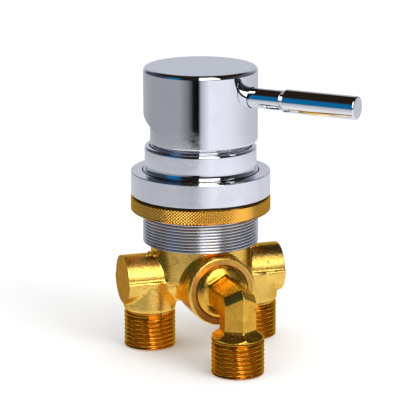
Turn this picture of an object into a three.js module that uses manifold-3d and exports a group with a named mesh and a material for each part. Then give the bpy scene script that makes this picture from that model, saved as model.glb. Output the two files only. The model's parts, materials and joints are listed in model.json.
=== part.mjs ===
// Deck-mounted single-lever three way mixing valve: two inlets, one outlet, one lever.
// Millimetres, +Z up. The origin is on the barrel axis at the deck's top surface.
// The outlet points along -Y, and the hot and cold inlets stand at -X and +X.
import * as THREE from "three";
import { mergeVertices } from "three/addons/utils/BufferGeometryUtils.js";
import Module from "manifold-3d";

const wasm = await Module();
wasm.setup();

// Clearances.
const SEAT_GAP = 0.06; // between flat faces that rest on each other
const SLIP_GAP = 0.3; // between round faces, radial, and between pieces cut to each other
const SWING_GAP = 0.4; // between a piece that tilts or slides and its slot

// Pipe threads, G 1/2.
const PIPE_RADIUS = 10.48;
const PIPE_WALL = 3.48;
const PIPE_THREAD_LENGTH = 14.2;
const PIPE_END_CHAMFER = 1.1;
const PIPE_RELIEF_DEPTH = 0.9;
const PIPE_RELIEF_WIDTH = 0.8;

// Valve body casting.
const DECK_TO_PIPE_ENDS = 62.1;
const BARREL_RADIUS = 20.5;
const BARREL_DROP = 34.3; // deck to the barrel's lower rim
const BARREL_WALL = 2.9; // beside the cartridge
const BARREL_TOP_WALL = 1.2; // beside the retaining nut's thread
const BARREL_RECESS = 1.71; // collar's top down to the barrel's top
const CHAMBER_FLOOR_DROP = 5;
const INLET_SPACING = 44;
const INLET_AXIS_DROP = 33.2;
const INLET_BOSS_LENGTH = 11.5; // leg axis to the flat boss end
const LEG_WALL = 0.32; // leg proud of the thread
const LEG_LEDGE = 1.2; // leg proud of the boss, radially
const LOWER_BOSS_STEP = 0.9; // lower half of the boss proud of its upper half
const LEG_FOOT_ROUND = 1.8;
const BRIDGE_STEP = 1.6; // bridge proud of the bosses
const BRIDGE_LENGTH = 26;
const BRIDGE_SINK = 2; // top of the bridge above the barrel's lower rim
const OUTLET_AXIS_DROP = 34.3;
const OUTLET_BOSS_RADIUS = 14.1;
const OUTLET_BOSS_LENGTH = 7; // barrel wall to the boss face
const OUTLET_BOSS_CHAMFER = 0.7;
const OUTLET_RING_WIDTH = 3;
const OUTLET_FLAT_DEPTH = 0.5;
const WATERWAY_RADIUS = 4.4;
const PORT_RADIUS = 3;
const INLET_PORT_INSET = 7.6; // cartridge bore to each port's axis
const INLET_PORT_Y = 2;
const OUTLET_PORT_INSET = 7.1;

// Outlet elbow.
const ELBOW_COLLAR_DEPTH = 6.2;
const ELBOW_DOME_HEIGHT = 2.6;
const ELBOW_DOME_WIDTH = 4.5;
const ELBOW_SPIGOT_STEP = 2.9; // collar to spigot, radially
const ELBOW_SPIGOT_LENGTH = 7.5;
const ELBOW_LENGTH = 19; // boss face to the outlet pipe's axis
const ELBOW_HEX_RADIUS = 7.9; // over the corners
const ELBOW_BEND_FLAT = 2.5; // bevel across the outside of the bend
const ELBOW_CROOK_FLAT = 0.2; // bevel across the inside of the bend
const ELBOW_WALL = 2; // bore to the bottom of the O-ring's groove
const ELBOW_SHOULDER_HEIGHT = 2.6;
const ELBOW_SHOULDER_INSET = 1; // hex corner to the top of the shoulder

// Sleeve, flange, lock nut and collar around the barrel.
const SLEEVE_WALL = 2.8;
const SLEEVE_CLEARANCE = 0.5; // sleeve's lower end above the outlet boss
const SLEEVE_EDGE = 0.5;
const FLANGE_LIP = 0.8; // flange wall around the gasket
const FLANGE_THICKNESS = 9.6;
const FLANGE_EDGE = 0.4;
const GASKET_PROUD = 0.4;
const GASKET_THICKNESS = 1.6;
const GASKET_WIDTH = 3.1;
const WASHER_THICKNESS = 0.3;
const WASHER_WIDTH = 3.2;
const NUT_WALL = 4.6;
const NUT_HEIGHT = 6;
const NUT_EDGE = 0.5;
const COLLAR_WALL = 1.95;
const COLLAR_HEIGHT = 10.5;
const COLLAR_FOOT_FLARE = 0.6;
const COLLAR_FOOT_HEIGHT = 2.6;
const COLLAR_ROUND = 1.3;

// Lip ring, domed retaining nut and cartridge.
const LIP_HEIGHT = 2.3;
const LIP_WALL = 1.1;
const RIM_GAP = 0.29; // lip ring to the nut's rim
const DOME_OVERHANG = 1.5; // nut's rim proud of its thread
const DOME_NECK_HEIGHT = 5.9;
const DOME_RISE = 3.5;
const DOME_ROUND_WIDTH = 6;
const DOME_HOLE_RADIUS = 8.5;
const DOME_THICKNESS = 2.2;
const NUT_THREAD_LENGTH = 7.35; // barrel's top to the cartridge shoulder
const CARTRIDGE_WALL = 1.7;
const CARTRIDGE_SHOULDER_WIDTH = 2.1;
const CARTRIDGE_NECK_WALL = 2.3;
const CARTRIDGE_NECK_HEIGHT = 14.6;
const ROTOR_RISE = 1.9; // rotor proud of the cartridge neck
const BASE_FLANGE_HEIGHT = 2.7;
const BASE_PLUG_HEIGHT = 2.3;
const FIXED_DISC_THICKNESS = 2.9;
const MOVING_DISC_THICKNESS = 2.7;
const DRIVER_THICKNESS = 3;
const DISC_GAP = 0.2;
const MIXING_POCKET_RADIUS = 7;
const MIXING_POCKET_DEPTH = 1.4;
const SEAL_WIDTH = 1;
const SEAL_HEIGHT = 1.8;

// Handle, lever and stem.
const PIVOT_DEPTH = 3.1; // rotor's top down to the tilt axis
const TILT_RANGE = 25; // degrees, lever lifted
const LEVER_HEADING = -46; // degrees from +X, lever at rest
const LEVER_DROP = 10.8; // cap's top down to the lever's axis
const CAP_CLEARANCE = 0.45; // cap's bore to the nut's rim
const CAP_WALL = 2.2;
const CAP_LIFT = 0.5; // nut's rim to the cap's lower edge
const CAP_HEIGHT = 30.6;
const CAP_CEILING = 2.6;
const CAP_ROUND = 1.7;
const CAP_FOOT_ROUND = 1.2;
const CAP_HUB_RADIUS = 9;
const CAP_HUB_LENGTH = 13;
const RELIEF_RISE = 1.7; // cap's lower edge to the rear relief, at the axis
const RELIEF_SLOPE = 0.49;
const STEM_SIZE = 7;
const STEM_HEADROOM = 4.1; // stem's top below the cap's top
const FINGER_RADIUS = 1.4;
const FINGER_BALL_RADIUS = 1.9;
const PIN_RADIUS = 1.5;
const PIN_INSET = 1; // rotor wall to each end of the pin
const LEVER_ROD_RADIUS = 4;
const LEVER_ROD_REACH = 13.55; // cap wall to the end of the rod
const LEVER_GROOVE = 1.5;
const LEVER_SPIGOT_RADIUS = 2.6;
const LEVER_SPIGOT_LENGTH = 9;
const LEVER_GRIP_RADIUS = 4.7;
const LEVER_GRIP_LENGTH = 30.8;
const LEVER_GRIP_CHAMFER = 0.35;
const SET_SCREW_LENGTH = 2.6;
const SET_SCREW_KEY_RADIUS = 2.3;

// O-rings.
const ORING_SECTION = 0.6;
const ORING_GROOVE_WIDTH = 2;

// How finely round pieces are faceted, and how far cutting tools run past a face.
const SIDES = 36;
const CAST_SIDES = 24;
const SMALL_SIDES = 16;
const BORE_SIDES = 12;
const RING_SIDES = 6;
const BALL_RINGS = 10;
const ROUND_STEPS = 2;
const DOME_STEPS = 5;
const MESH_TOLERANCE = 0.004;
const OVERRUN = 1;

// Places worked out from the sizes above.
const PIPE_END_Z = -DECK_TO_PIPE_ENDS;
const PIPE_TOP_Z = PIPE_END_Z + PIPE_THREAD_LENGTH;
const PIPE_BORE_RADIUS = PIPE_RADIUS - PIPE_WALL;
const LEG_FOOT_Z = PIPE_TOP_Z + PIPE_RELIEF_WIDTH;
const LEG_RADIUS = PIPE_RADIUS + LEG_WALL;
const LEG_X = INLET_SPACING / 2;
const INLET_Z = -INLET_AXIS_DROP;
const INLET_BOSS_RADIUS = LEG_RADIUS - LEG_LEDGE;
const INLET_BOSS_REACH = LEG_X + INLET_BOSS_LENGTH;
const BRIDGE_RADIUS = INLET_BOSS_RADIUS + BRIDGE_STEP;
const OUTLET_Z = -OUTLET_AXIS_DROP;
const OUTLET_BOSS_REACH = BARREL_RADIUS + OUTLET_BOSS_LENGTH;
const ELBOW_COLLAR_RADIUS = OUTLET_BOSS_RADIUS - OUTLET_RING_WIDTH - SLIP_GAP;
const ELBOW_SPIGOT_RADIUS = ELBOW_COLLAR_RADIUS - ELBOW_SPIGOT_STEP;
const ELBOW_GROOVE_RADIUS = ELBOW_SPIGOT_RADIUS - 2 * ORING_SECTION;
const ELBOW_BORE_RADIUS = ELBOW_GROOVE_RADIUS - ELBOW_WALL;
const ELBOW_REACH = OUTLET_BOSS_REACH + ELBOW_LENGTH;
const COLLAR_SEAT_Y = -(OUTLET_BOSS_REACH - ELBOW_COLLAR_DEPTH);
const SPIGOT_END_Y = COLLAR_SEAT_Y + ELBOW_SPIGOT_LENGTH;
const SLEEVE_BORE = BARREL_RADIUS + SLIP_GAP;
const SLEEVE_RADIUS = SLEEVE_BORE + SLEEVE_WALL;
const SLEEVE_LOW = OUTLET_Z + OUTLET_BOSS_RADIUS + SLEEVE_CLEARANCE;
const FLANGE_BORE = SLEEVE_RADIUS + SLIP_GAP;
const FLANGE_SEAT_RADIUS = FLANGE_BORE + GASKET_WIDTH + 2 * SLIP_GAP;
const FLANGE_RADIUS = FLANGE_SEAT_RADIUS + FLANGE_LIP;
const FLANGE_TOP = GASKET_PROUD + FLANGE_THICKNESS;
const NUT_RADIUS = FLANGE_BORE + NUT_WALL;
const COLLAR_RADIUS = SLEEVE_BORE + COLLAR_WALL;
const COLLAR_LOW = FLANGE_TOP + SEAT_GAP;
const BARREL_TOP = COLLAR_LOW + COLLAR_HEIGHT - BARREL_RECESS;
const CHAMBER_RADIUS = BARREL_RADIUS - BARREL_WALL;
const NUT_THREAD_RADIUS = BARREL_RADIUS - BARREL_TOP_WALL - SLIP_GAP;
const LIP_LOW = BARREL_TOP + SEAT_GAP;
const LIP_BORE = NUT_THREAD_RADIUS + SLIP_GAP;
const DOME_RADIUS = NUT_THREAD_RADIUS + DOME_OVERHANG;
const DOME_RIM = LIP_LOW + LIP_HEIGHT + RIM_GAP;
const FLOOR_Z = -CHAMBER_FLOOR_DROP;
const CARTRIDGE_RADIUS = CHAMBER_RADIUS - SLIP_GAP;
const CARTRIDGE_BORE = CARTRIDGE_RADIUS - CARTRIDGE_WALL;
const CARTRIDGE_NECK_RADIUS = CARTRIDGE_RADIUS - CARTRIDGE_SHOULDER_WIDTH;
const CARTRIDGE_SHOULDER = BARREL_TOP - NUT_THREAD_LENGTH;
const CARTRIDGE_TOP = CARTRIDGE_SHOULDER + CARTRIDGE_NECK_HEIGHT;
const BASE_FLANGE_TOP = FLOOR_Z + SLIP_GAP + BASE_FLANGE_HEIGHT;
const BASE_PLUG_TOP = BASE_FLANGE_TOP + BASE_PLUG_HEIGHT;
const FIXED_DISC_Z = BASE_PLUG_TOP + DISC_GAP;
const MOVING_DISC_Z = FIXED_DISC_Z + FIXED_DISC_THICKNESS + DISC_GAP;
const DRIVER_Z = MOVING_DISC_Z + MOVING_DISC_THICKNESS + DISC_GAP;
const DRIVER_TOP = DRIVER_Z + DRIVER_THICKNESS;
const ROTOR_RADIUS = CARTRIDGE_NECK_RADIUS - CARTRIDGE_NECK_WALL - SLIP_GAP;
const ROTOR_Z = DRIVER_TOP + SWING_GAP;
const ROTOR_TOP = CARTRIDGE_TOP + ROTOR_RISE;
const ROTOR_GROOVE_Z = (CARTRIDGE_SHOULDER + CARTRIDGE_TOP) / 2;
const PIVOT_HEIGHT = ROTOR_TOP - PIVOT_DEPTH;
const BALL_Z = DRIVER_Z + FINGER_BALL_RADIUS + DISC_GAP;
const TILT = THREE.MathUtils.degToRad(TILT_RANGE);
const DISC_STROKE = (PIVOT_HEIGHT - BALL_Z) * Math.sin(TILT);
const DISC_RADIUS = CARTRIDGE_BORE - SLIP_GAP - DISC_STROKE / 2;
const CAP_RADIUS = DOME_RADIUS + CAP_CLEARANCE + CAP_WALL;
const CAP_BOTTOM = DOME_RIM + CAP_LIFT;
const CAP_TOP = CAP_BOTTOM + CAP_HEIGHT;
const RELIEF_START = CAP_BOTTOM + RELIEF_RISE;
const STEM_TOP = CAP_TOP - STEM_HEADROOM;
const LEVER_HEIGHT = CAP_TOP - LEVER_DROP;
const LEVER_ROD_END = CAP_RADIUS + LEVER_ROD_REACH;
const SCREW_START = STEM_SIZE / 2 + SWING_GAP;
const ROD_START = SCREW_START + SET_SCREW_LENGTH + SLIP_GAP;
const GRIP_START = LEVER_ROD_END + LEVER_GROOVE;
const LEVER_END = GRIP_START + LEVER_GRIP_LENGTH;
const PORTS = {
  hot: [INLET_PORT_INSET - CARTRIDGE_BORE, INLET_PORT_Y],
  cold: [CARTRIDGE_BORE - INLET_PORT_INSET, INLET_PORT_Y],
  outlet: [0, OUTLET_PORT_INSET - CARTRIDGE_BORE],
};

const BRASS = { color: 0xc9922e, roughness: 0.38, metalness: 1 };
const CHROME = { color: 0xd5d8de, roughness: 0.12, metalness: 1 };
const RUBBER = { color: 0x151515, roughness: 0.85, metalness: 0 };
const PLASTIC = { color: 0xe4e2da, roughness: 0.5, metalness: 0 };
const CERAMIC = { color: 0xf1efe8, roughness: 0.15, metalness: 0 };
const STEEL = { color: 0x9a9da1, roughness: 0.3, metalness: 1 };

// A closed solid for joining and cutting, from a closed geometry.
function solidFrom(geometry) {
  const bare = geometry.index ? geometry.toNonIndexed() : geometry.clone();
  bare.deleteAttribute("normal");
  bare.deleteAttribute("uv");
  const merged = mergeVertices(bare, 1e-4);
  const mesh = new wasm.Mesh({
    numProp: 3,
    vertProperties: merged.attributes.position.array,
    triVerts: new Uint32Array(merged.index.array),
  });
  return new wasm.Manifold(mesh);
}

function geometryFrom(solid) {
  const mesh = solid.simplify(MESH_TOLERANCE).getMesh();
  const geometry = new THREE.BufferGeometry();
  geometry.setAttribute("position", new THREE.BufferAttribute(mesh.vertProperties, 3));
  geometry.setIndex(new THREE.BufferAttribute(mesh.triVerts, 1));
  return geometry;
}

function joined(...solids) {
  return solids.reduce((whole, next) => whole.add(next));
}

function cut(solid, ...tools) {
  return tools.reduce((whole, tool) => whole.subtract(tool), solid);
}

// A ring or a pot turned about Z. The profile runs anticlockwise in [radius, height];
// one that starts off the axis is closed back to its start.
function turned(profile, sides = SIDES) {
  const points = profile.map(([radius, height]) => new THREE.Vector2(radius, height));
  if (profile[0][0] > 0) {
    points.push(points[0].clone());
  }
  return new THREE.LatheGeometry(points, sides).rotateX(Math.PI / 2);
}

// A plain ring between two radii and two heights.
function ring(inner, outer, low, high, sides = SIDES) {
  return turned([[inner, low], [outer, low], [outer, high], [inner, high]], sides);
}

// Points on a quarter of an ellipse, both ends included, from one angle to another.
function rounded(centre, width, height, fromDegrees, toDegrees, steps = ROUND_STEPS) {
  return Array.from({ length: steps + 1 }, (_, i) => {
    const turn = THREE.MathUtils.degToRad(fromDegrees + ((toDegrees - fromDegrees) * i) / steps);
    return [centre[0] + width * Math.cos(turn), centre[1] + height * Math.sin(turn)];
  });
}

// A round bar between two points.
function bar(radius, from, to, sides = SIDES) {
  const start = new THREE.Vector3(...from);
  const along = new THREE.Vector3(...to).sub(start);
  const turn = new THREE.Quaternion();
  turn.setFromUnitVectors(new THREE.Vector3(0, 1, 0), along.clone().normalize());
  const middle = start.addScaledVector(along, 0.5);
  return new THREE.CylinderGeometry(radius, radius, along.length(), sides)
    .applyQuaternion(turn)
    .translate(middle.x, middle.y, middle.z);
}

function box(low, high) {
  const [x, y, z] = high.map((value, i) => value - low[i]);
  return new THREE.BoxGeometry(x, y, z)
    .translate((low[0] + high[0]) / 2, (low[1] + high[1]) / 2, (low[2] + high[2]) / 2);
}

// A closed bar through rings of corners, each ring clockwise as seen from the bar's far end.
function lofted(rings) {
  const count = rings[0].length;
  const index = [];
  const quad = (a, b, c, d) => index.push(a, c, b, a, d, c);
  for (let r = 0; r + 1 < rings.length; r += 1) {
    for (let i = 0; i < count; i += 1) {
      const next = (i + 1) % count;
      quad(r * count + i, r * count + next, (r + 1) * count + next, (r + 1) * count + i);
    }
  }
  const last = (rings.length - 1) * count;
  for (let i = 1; i + 1 < count; i += 1) {
    index.push(0, i, i + 1);
    index.push(last, last + i + 1, last + i);
  }
  const geometry = new THREE.BufferGeometry();
  geometry.setAttribute("position", new THREE.Float32BufferAttribute(rings.flat(2), 3));
  geometry.setIndex(index);
  return geometry;
}

function piece(name, geometry, finish) {
  const mesh = new THREE.Mesh(geometry, new THREE.MeshStandardMaterial(finish));
  mesh.name = name;
  return mesh;
}

// A lathe piece laid along -Y: its heights count outwards from the barrel axis.
function alongOutlet(geometry) {
  return geometry.rotateX(Math.PI / 2).translate(0, 0, OUTLET_Z);
}

// The outside of a threaded pipe end with its chamfer and the relief above the thread.
function pipeEnd() {
  const relief = PIPE_RADIUS - PIPE_RELIEF_DEPTH;
  return [
    [PIPE_RADIUS - PIPE_END_CHAMFER, PIPE_END_Z],
    [PIPE_RADIUS, PIPE_END_Z + PIPE_END_CHAMFER],
    [PIPE_RADIUS, PIPE_TOP_Z],
    [relief, PIPE_TOP_Z],
    [relief, LEG_FOOT_Z],
  ];
}

// One inlet: its threaded leg, and the boss, whose lower half is the stouter.
function inletLeg(side) {
  const x = side * LEG_X;
  const end = side * INLET_BOSS_REACH;
  const foot = rounded(
    [LEG_RADIUS - LEG_FOOT_ROUND, LEG_FOOT_Z + LEG_FOOT_ROUND], LEG_FOOT_ROUND, LEG_FOOT_ROUND, -60, 0);
  const leg = turned([
    [0, PIPE_END_Z], ...pipeEnd(), ...foot, [LEG_RADIUS, INLET_Z], [0, INLET_Z],
  ], CAST_SIDES);
  const boss = bar(INLET_BOSS_RADIUS, [side, 0, INLET_Z], [end, 0, INLET_Z], CAST_SIDES);
  const stout = bar(INLET_BOSS_RADIUS + LOWER_BOSS_STEP, [x, 0, INLET_Z], [end, 0, INLET_Z], CAST_SIDES);
  const upperHalf = box(
    [-INLET_BOSS_REACH - OVERRUN, -LEG_RADIUS, INLET_Z], [INLET_BOSS_REACH + OVERRUN, LEG_RADIUS, 0]);
  const lower = cut(solidFrom(stout), solidFrom(upperHalf));
  return joined(solidFrom(leg.translate(x, 0, 0)), solidFrom(boss), lower);
}

function inletWaterway(side, port) {
  const x = side * LEG_X;
  const below = PIPE_END_Z - OVERRUN;
  const neck = port[0] - side * PORT_RADIUS;
  const boreTop = INLET_Z - WATERWAY_RADIUS - OVERRUN;
  return joined(
    solidFrom(bar(PIPE_BORE_RADIUS, [x, 0, below], [x, 0, boreTop], BORE_SIDES)),
    solidFrom(bar(WATERWAY_RADIUS, [x, 0, below], [x, 0, INLET_Z + OVERRUN], BORE_SIDES)),
    solidFrom(bar(WATERWAY_RADIUS, [neck, 0, INLET_Z], [x + side, 0, INLET_Z], BORE_SIDES)),
    solidFrom(bar(PORT_RADIUS, [...port, INLET_Z], [...port, FLOOR_Z + OVERRUN], BORE_SIDES)),
  );
}

function outletBoss() {
  const reach = OUTLET_BOSS_REACH;
  const edge = OUTLET_BOSS_RADIUS - OUTLET_BOSS_CHAMFER;
  const boss = alongOutlet(turned([
    [0, 0],
    [OUTLET_BOSS_RADIUS, 0],
    [OUTLET_BOSS_RADIUS, reach - OUTLET_BOSS_CHAMFER],
    [edge, reach],
    [0, reach],
  ]));
  const top = OUTLET_Z + OUTLET_BOSS_RADIUS;
  const flat = box(
    [-OUTLET_BOSS_RADIUS, -reach - OVERRUN, top - OUTLET_FLAT_DEPTH],
    [OUTLET_BOSS_RADIUS, 0, top + OVERRUN],
  );
  return cut(solidFrom(boss), solidFrom(flat));
}

function outletWaterway() {
  const collarBore = ELBOW_COLLAR_RADIUS + SLIP_GAP;
  const spigotBore = ELBOW_SPIGOT_RADIUS + SLIP_GAP;
  const collarSeat = COLLAR_SEAT_Y + SLIP_GAP;
  const spigotSeat = SPIGOT_END_Y + SLIP_GAP;
  const mouth = -OUTLET_BOSS_REACH - OVERRUN;
  const portY = PORTS.outlet[1];
  return joined(
    solidFrom(bar(collarBore, [0, mouth, OUTLET_Z], [0, collarSeat, OUTLET_Z], SIDES)),
    solidFrom(bar(spigotBore, [0, mouth, OUTLET_Z], [0, spigotSeat, OUTLET_Z], CAST_SIDES)),
    solidFrom(bar(ELBOW_BORE_RADIUS, [0, mouth, OUTLET_Z], [0, portY, OUTLET_Z], BORE_SIDES)),
    solidFrom(bar(PORT_RADIUS, [0, portY, OUTLET_Z], [0, portY, FLOOR_Z + OVERRUN], BORE_SIDES)),
  );
}

// The barrel with its cartridge chamber, open at the top, and the O-ring groove.
function barrel() {
  const groove = FLANGE_TOP / 2;
  const grooveRadius = BARREL_RADIUS - 2 * ORING_SECTION;
  return turned([
    [0, -BARREL_DROP],
    [BARREL_RADIUS, -BARREL_DROP],
    [BARREL_RADIUS, groove - ORING_GROOVE_WIDTH / 2],
    [grooveRadius, groove - ORING_GROOVE_WIDTH / 2],
    [grooveRadius, groove + ORING_GROOVE_WIDTH / 2],
    [BARREL_RADIUS, groove + ORING_GROOVE_WIDTH / 2],
    [BARREL_RADIUS, BARREL_TOP],
    [LIP_BORE, BARREL_TOP],
    [LIP_BORE, CARTRIDGE_SHOULDER - SLIP_GAP],
    [CHAMBER_RADIUS, CARTRIDGE_SHOULDER - SLIP_GAP],
    [CHAMBER_RADIUS, FLOOR_Z],
    [0, FLOOR_Z],
  ]);
}

function valveBody() {
  const half = BRIDGE_LENGTH / 2;
  const past = half + OVERRUN;
  const bridgeTop = BRIDGE_SINK - BARREL_DROP;
  const bridge = cut(
    solidFrom(bar(BRIDGE_RADIUS, [-half, 0, INLET_Z], [half, 0, INLET_Z], CAST_SIDES)),
    solidFrom(box([-past, -BARREL_RADIUS, bridgeTop], [past, BARREL_RADIUS, 0])),
  );
  const chamber = bar(CHAMBER_RADIUS, [0, 0, FLOOR_Z], [0, 0, BARREL_TOP + OVERRUN], SIDES);
  const casting = joined(solidFrom(barrel()), inletLeg(-1), inletLeg(1), bridge, outletBoss());
  const hotWay = inletWaterway(-1, PORTS.hot);
  const coldWay = inletWaterway(1, PORTS.cold);
  const bored = cut(casting, hotWay, coldWay, outletWaterway(), solidFrom(chamber));
  return piece("valve_body", geometryFrom(bored), BRASS);
}

// The elbow's six-sided bar: level, then straight down, one corner always outwards.
function elbowArm() {
  const rings = [[], [], [], []];
  for (let i = 0; i < 6; i += 1) {
    const corner = (i * Math.PI) / 3;
    const side = ELBOW_HEX_RADIUS * Math.sin(corner);
    const out = ELBOW_HEX_RADIUS * Math.cos(corner);
    const flat = out > 0 ? ELBOW_BEND_FLAT : ELBOW_CROOK_FLAT;
    const y = -ELBOW_REACH - out;
    const z = OUTLET_Z + out;
    rings[0].push([side, COLLAR_SEAT_Y - OVERRUN, z]);
    rings[1].push([side, y + flat, z]);
    rings[2].push([side, y, z - flat]);
    rings[3].push([side, y, PIPE_TOP_Z + OVERRUN]);
  }
  return solidFrom(lofted(rings));
}

function elbowCollar() {
  const seat = -COLLAR_SEAT_Y;
  const face = OUTLET_BOSS_REACH;
  const grooveMiddle = seat - ELBOW_SPIGOT_LENGTH / 2;
  const dome = rounded(
    [ELBOW_COLLAR_RADIUS - ELBOW_DOME_WIDTH, face], ELBOW_DOME_WIDTH, ELBOW_DOME_HEIGHT, 0, 90);
  return solidFrom(alongOutlet(turned([
    [0, -SPIGOT_END_Y],
    [ELBOW_SPIGOT_RADIUS, -SPIGOT_END_Y],
    [ELBOW_SPIGOT_RADIUS, grooveMiddle - ORING_GROOVE_WIDTH / 2],
    [ELBOW_GROOVE_RADIUS, grooveMiddle - ORING_GROOVE_WIDTH / 2],
    [ELBOW_GROOVE_RADIUS, grooveMiddle + ORING_GROOVE_WIDTH / 2],
    [ELBOW_SPIGOT_RADIUS, grooveMiddle + ORING_GROOVE_WIDTH / 2],
    [ELBOW_SPIGOT_RADIUS, seat],
    [ELBOW_COLLAR_RADIUS, seat],
    ...dome,
    [0, face + ELBOW_DOME_HEIGHT],
  ], SIDES)));
}

function outletElbow() {
  const shoulderTop = LEG_FOOT_Z + ELBOW_SHOULDER_HEIGHT;
  const tail = turned([
    [0, PIPE_END_Z],
    ...pipeEnd(),
    [PIPE_RADIUS, LEG_FOOT_Z],
    [ELBOW_HEX_RADIUS - ELBOW_SHOULDER_INSET, shoulderTop],
    [0, shoulderTop],
  ], CAST_SIDES).translate(0, -ELBOW_REACH, 0);
  const inner = SPIGOT_END_Y + OVERRUN;
  const corner = [0, -ELBOW_REACH, OUTLET_Z];
  const below = PIPE_END_Z - OVERRUN;
  const bored = cut(
    joined(elbowArm(), elbowCollar(), solidFrom(tail)),
    solidFrom(bar(ELBOW_BORE_RADIUS, [0, inner, OUTLET_Z], corner, BORE_SIDES)),
    solidFrom(bar(ELBOW_BORE_RADIUS, corner, [0, -ELBOW_REACH, below], BORE_SIDES)),
    solidFrom(bar(PIPE_BORE_RADIUS, [0, -ELBOW_REACH, below], [0, -ELBOW_REACH, PIPE_TOP_Z], BORE_SIDES)),
  );
  return piece("outlet_elbow", geometryFrom(bored), BRASS);
}

function elbowORing() {
  const middle = -COLLAR_SEAT_Y - ELBOW_SPIGOT_LENGTH / 2;
  const radius = ELBOW_SPIGOT_RADIUS - ORING_SECTION + SLIP_GAP / 4;
  const torus = new THREE.TorusGeometry(radius, ORING_SECTION, RING_SIDES, SIDES).translate(0, 0, middle);
  return piece("elbow_o_ring", alongOutlet(torus), RUBBER);
}

function threadedSleeve() {
  const top = FLANGE_TOP - SLIP_GAP;
  const low = SLEEVE_LOW;
  return piece("threaded_sleeve", turned([
    [SLEEVE_BORE, low], [SLEEVE_RADIUS - SLEEVE_EDGE, low], [SLEEVE_RADIUS, low + SLEEVE_EDGE],
    [SLEEVE_RADIUS, top], [SLEEVE_BORE, top],
  ]), CHROME);
}

function bodyORing() {
  const radius = BARREL_RADIUS - ORING_SECTION + SLIP_GAP / 4;
  const torus = new THREE.TorusGeometry(radius, ORING_SECTION, RING_SIDES, SIDES);
  return piece("body_o_ring", torus.translate(0, 0, FLANGE_TOP / 2), RUBBER);
}

function flange() {
  const seat = GASKET_THICKNESS + SEAT_GAP;
  return piece("flange", turned([
    [FLANGE_BORE, seat],
    [FLANGE_SEAT_RADIUS, seat],
    [FLANGE_SEAT_RADIUS, GASKET_PROUD],
    [FLANGE_RADIUS - FLANGE_EDGE / 2, GASKET_PROUD],
    [FLANGE_RADIUS, GASKET_PROUD + FLANGE_EDGE / 2],
    ...rounded([FLANGE_RADIUS - FLANGE_EDGE, FLANGE_TOP - FLANGE_EDGE], FLANGE_EDGE, FLANGE_EDGE, 0, 90),
    [FLANGE_BORE, FLANGE_TOP],
  ]), CHROME);
}

function flangeGasket() {
  const inner = FLANGE_BORE + SLIP_GAP;
  return piece("flange_gasket", ring(inner, inner + GASKET_WIDTH, 0, GASKET_THICKNESS), RUBBER);
}

function clampWasher() {
  const top = -SEAT_GAP;
  const geometry = ring(FLANGE_BORE, FLANGE_BORE + WASHER_WIDTH, top - WASHER_THICKNESS, top);
  return piece("clamp_washer", geometry, RUBBER);
}

function knurledNut() {
  const top = -2 * SEAT_GAP - WASHER_THICKNESS;
  const low = top - NUT_HEIGHT;
  const face = NUT_RADIUS - NUT_EDGE;
  return piece("knurled_nut", turned([
    [FLANGE_BORE, low], [face, low], [NUT_RADIUS, low + NUT_EDGE],
    [NUT_RADIUS, top - NUT_EDGE], [face, top], [FLANGE_BORE, top],
  ]), BRASS);
}

function collar() {
  const low = COLLAR_LOW;
  const top = low + COLLAR_HEIGHT;
  const foot = COLLAR_RADIUS + COLLAR_FOOT_FLARE;
  return piece("collar", turned([
    [SLEEVE_BORE, low],
    [foot, low],
    [foot, low + COLLAR_FOOT_FLARE],
    [COLLAR_RADIUS, low + COLLAR_FOOT_HEIGHT],
    ...rounded([COLLAR_RADIUS - COLLAR_ROUND, top - COLLAR_ROUND], COLLAR_ROUND, COLLAR_ROUND, 0, 90),
    [SLEEVE_BORE, top],
  ]), CHROME);
}

function lipRing() {
  return piece("lip_ring", ring(LIP_BORE, LIP_BORE + LIP_WALL, LIP_LOW, LIP_LOW + LIP_HEIGHT), CHROME);
}

function domeNut() {
  const bore = CARTRIDGE_NECK_RADIUS + SLIP_GAP;
  const shoulder = CARTRIDGE_SHOULDER + SEAT_GAP;
  const neckTop = DOME_RIM + DOME_NECK_HEIGHT;
  const top = neckTop + DOME_RISE;
  return piece("dome_nut", turned([
    [bore, shoulder],
    [NUT_THREAD_RADIUS, shoulder],
    [NUT_THREAD_RADIUS, DOME_RIM],
    [DOME_RADIUS, DOME_RIM],
    ...rounded([DOME_RADIUS - DOME_ROUND_WIDTH, neckTop], DOME_ROUND_WIDTH, DOME_RISE, 0, 90, DOME_STEPS),
    [DOME_HOLE_RADIUS, top],
    [DOME_HOLE_RADIUS, top - DOME_THICKNESS],
    [bore, top - DOME_THICKNESS],
  ]), CHROME);
}

function cartridgeHousing() {
  const rotorBore = ROTOR_RADIUS + SLIP_GAP;
  const low = BASE_FLANGE_TOP + SLIP_GAP;
  const ceiling = DRIVER_TOP + DISC_GAP;
  return piece("cartridge_housing", turned([
    [CARTRIDGE_BORE, low],
    [CARTRIDGE_RADIUS, low],
    [CARTRIDGE_RADIUS, CARTRIDGE_SHOULDER],
    [CARTRIDGE_NECK_RADIUS, CARTRIDGE_SHOULDER],
    [CARTRIDGE_NECK_RADIUS, CARTRIDGE_TOP],
    [rotorBore, CARTRIDGE_TOP],
    [rotorBore, ceiling],
    [CARTRIDGE_BORE, ceiling],
  ]), PLASTIC);
}

function portHoles(radius, low, high) {
  return Object.values(PORTS).map(([x, y]) => solidFrom(bar(radius, [x, y, low], [x, y, high], SMALL_SIDES)));
}

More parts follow.
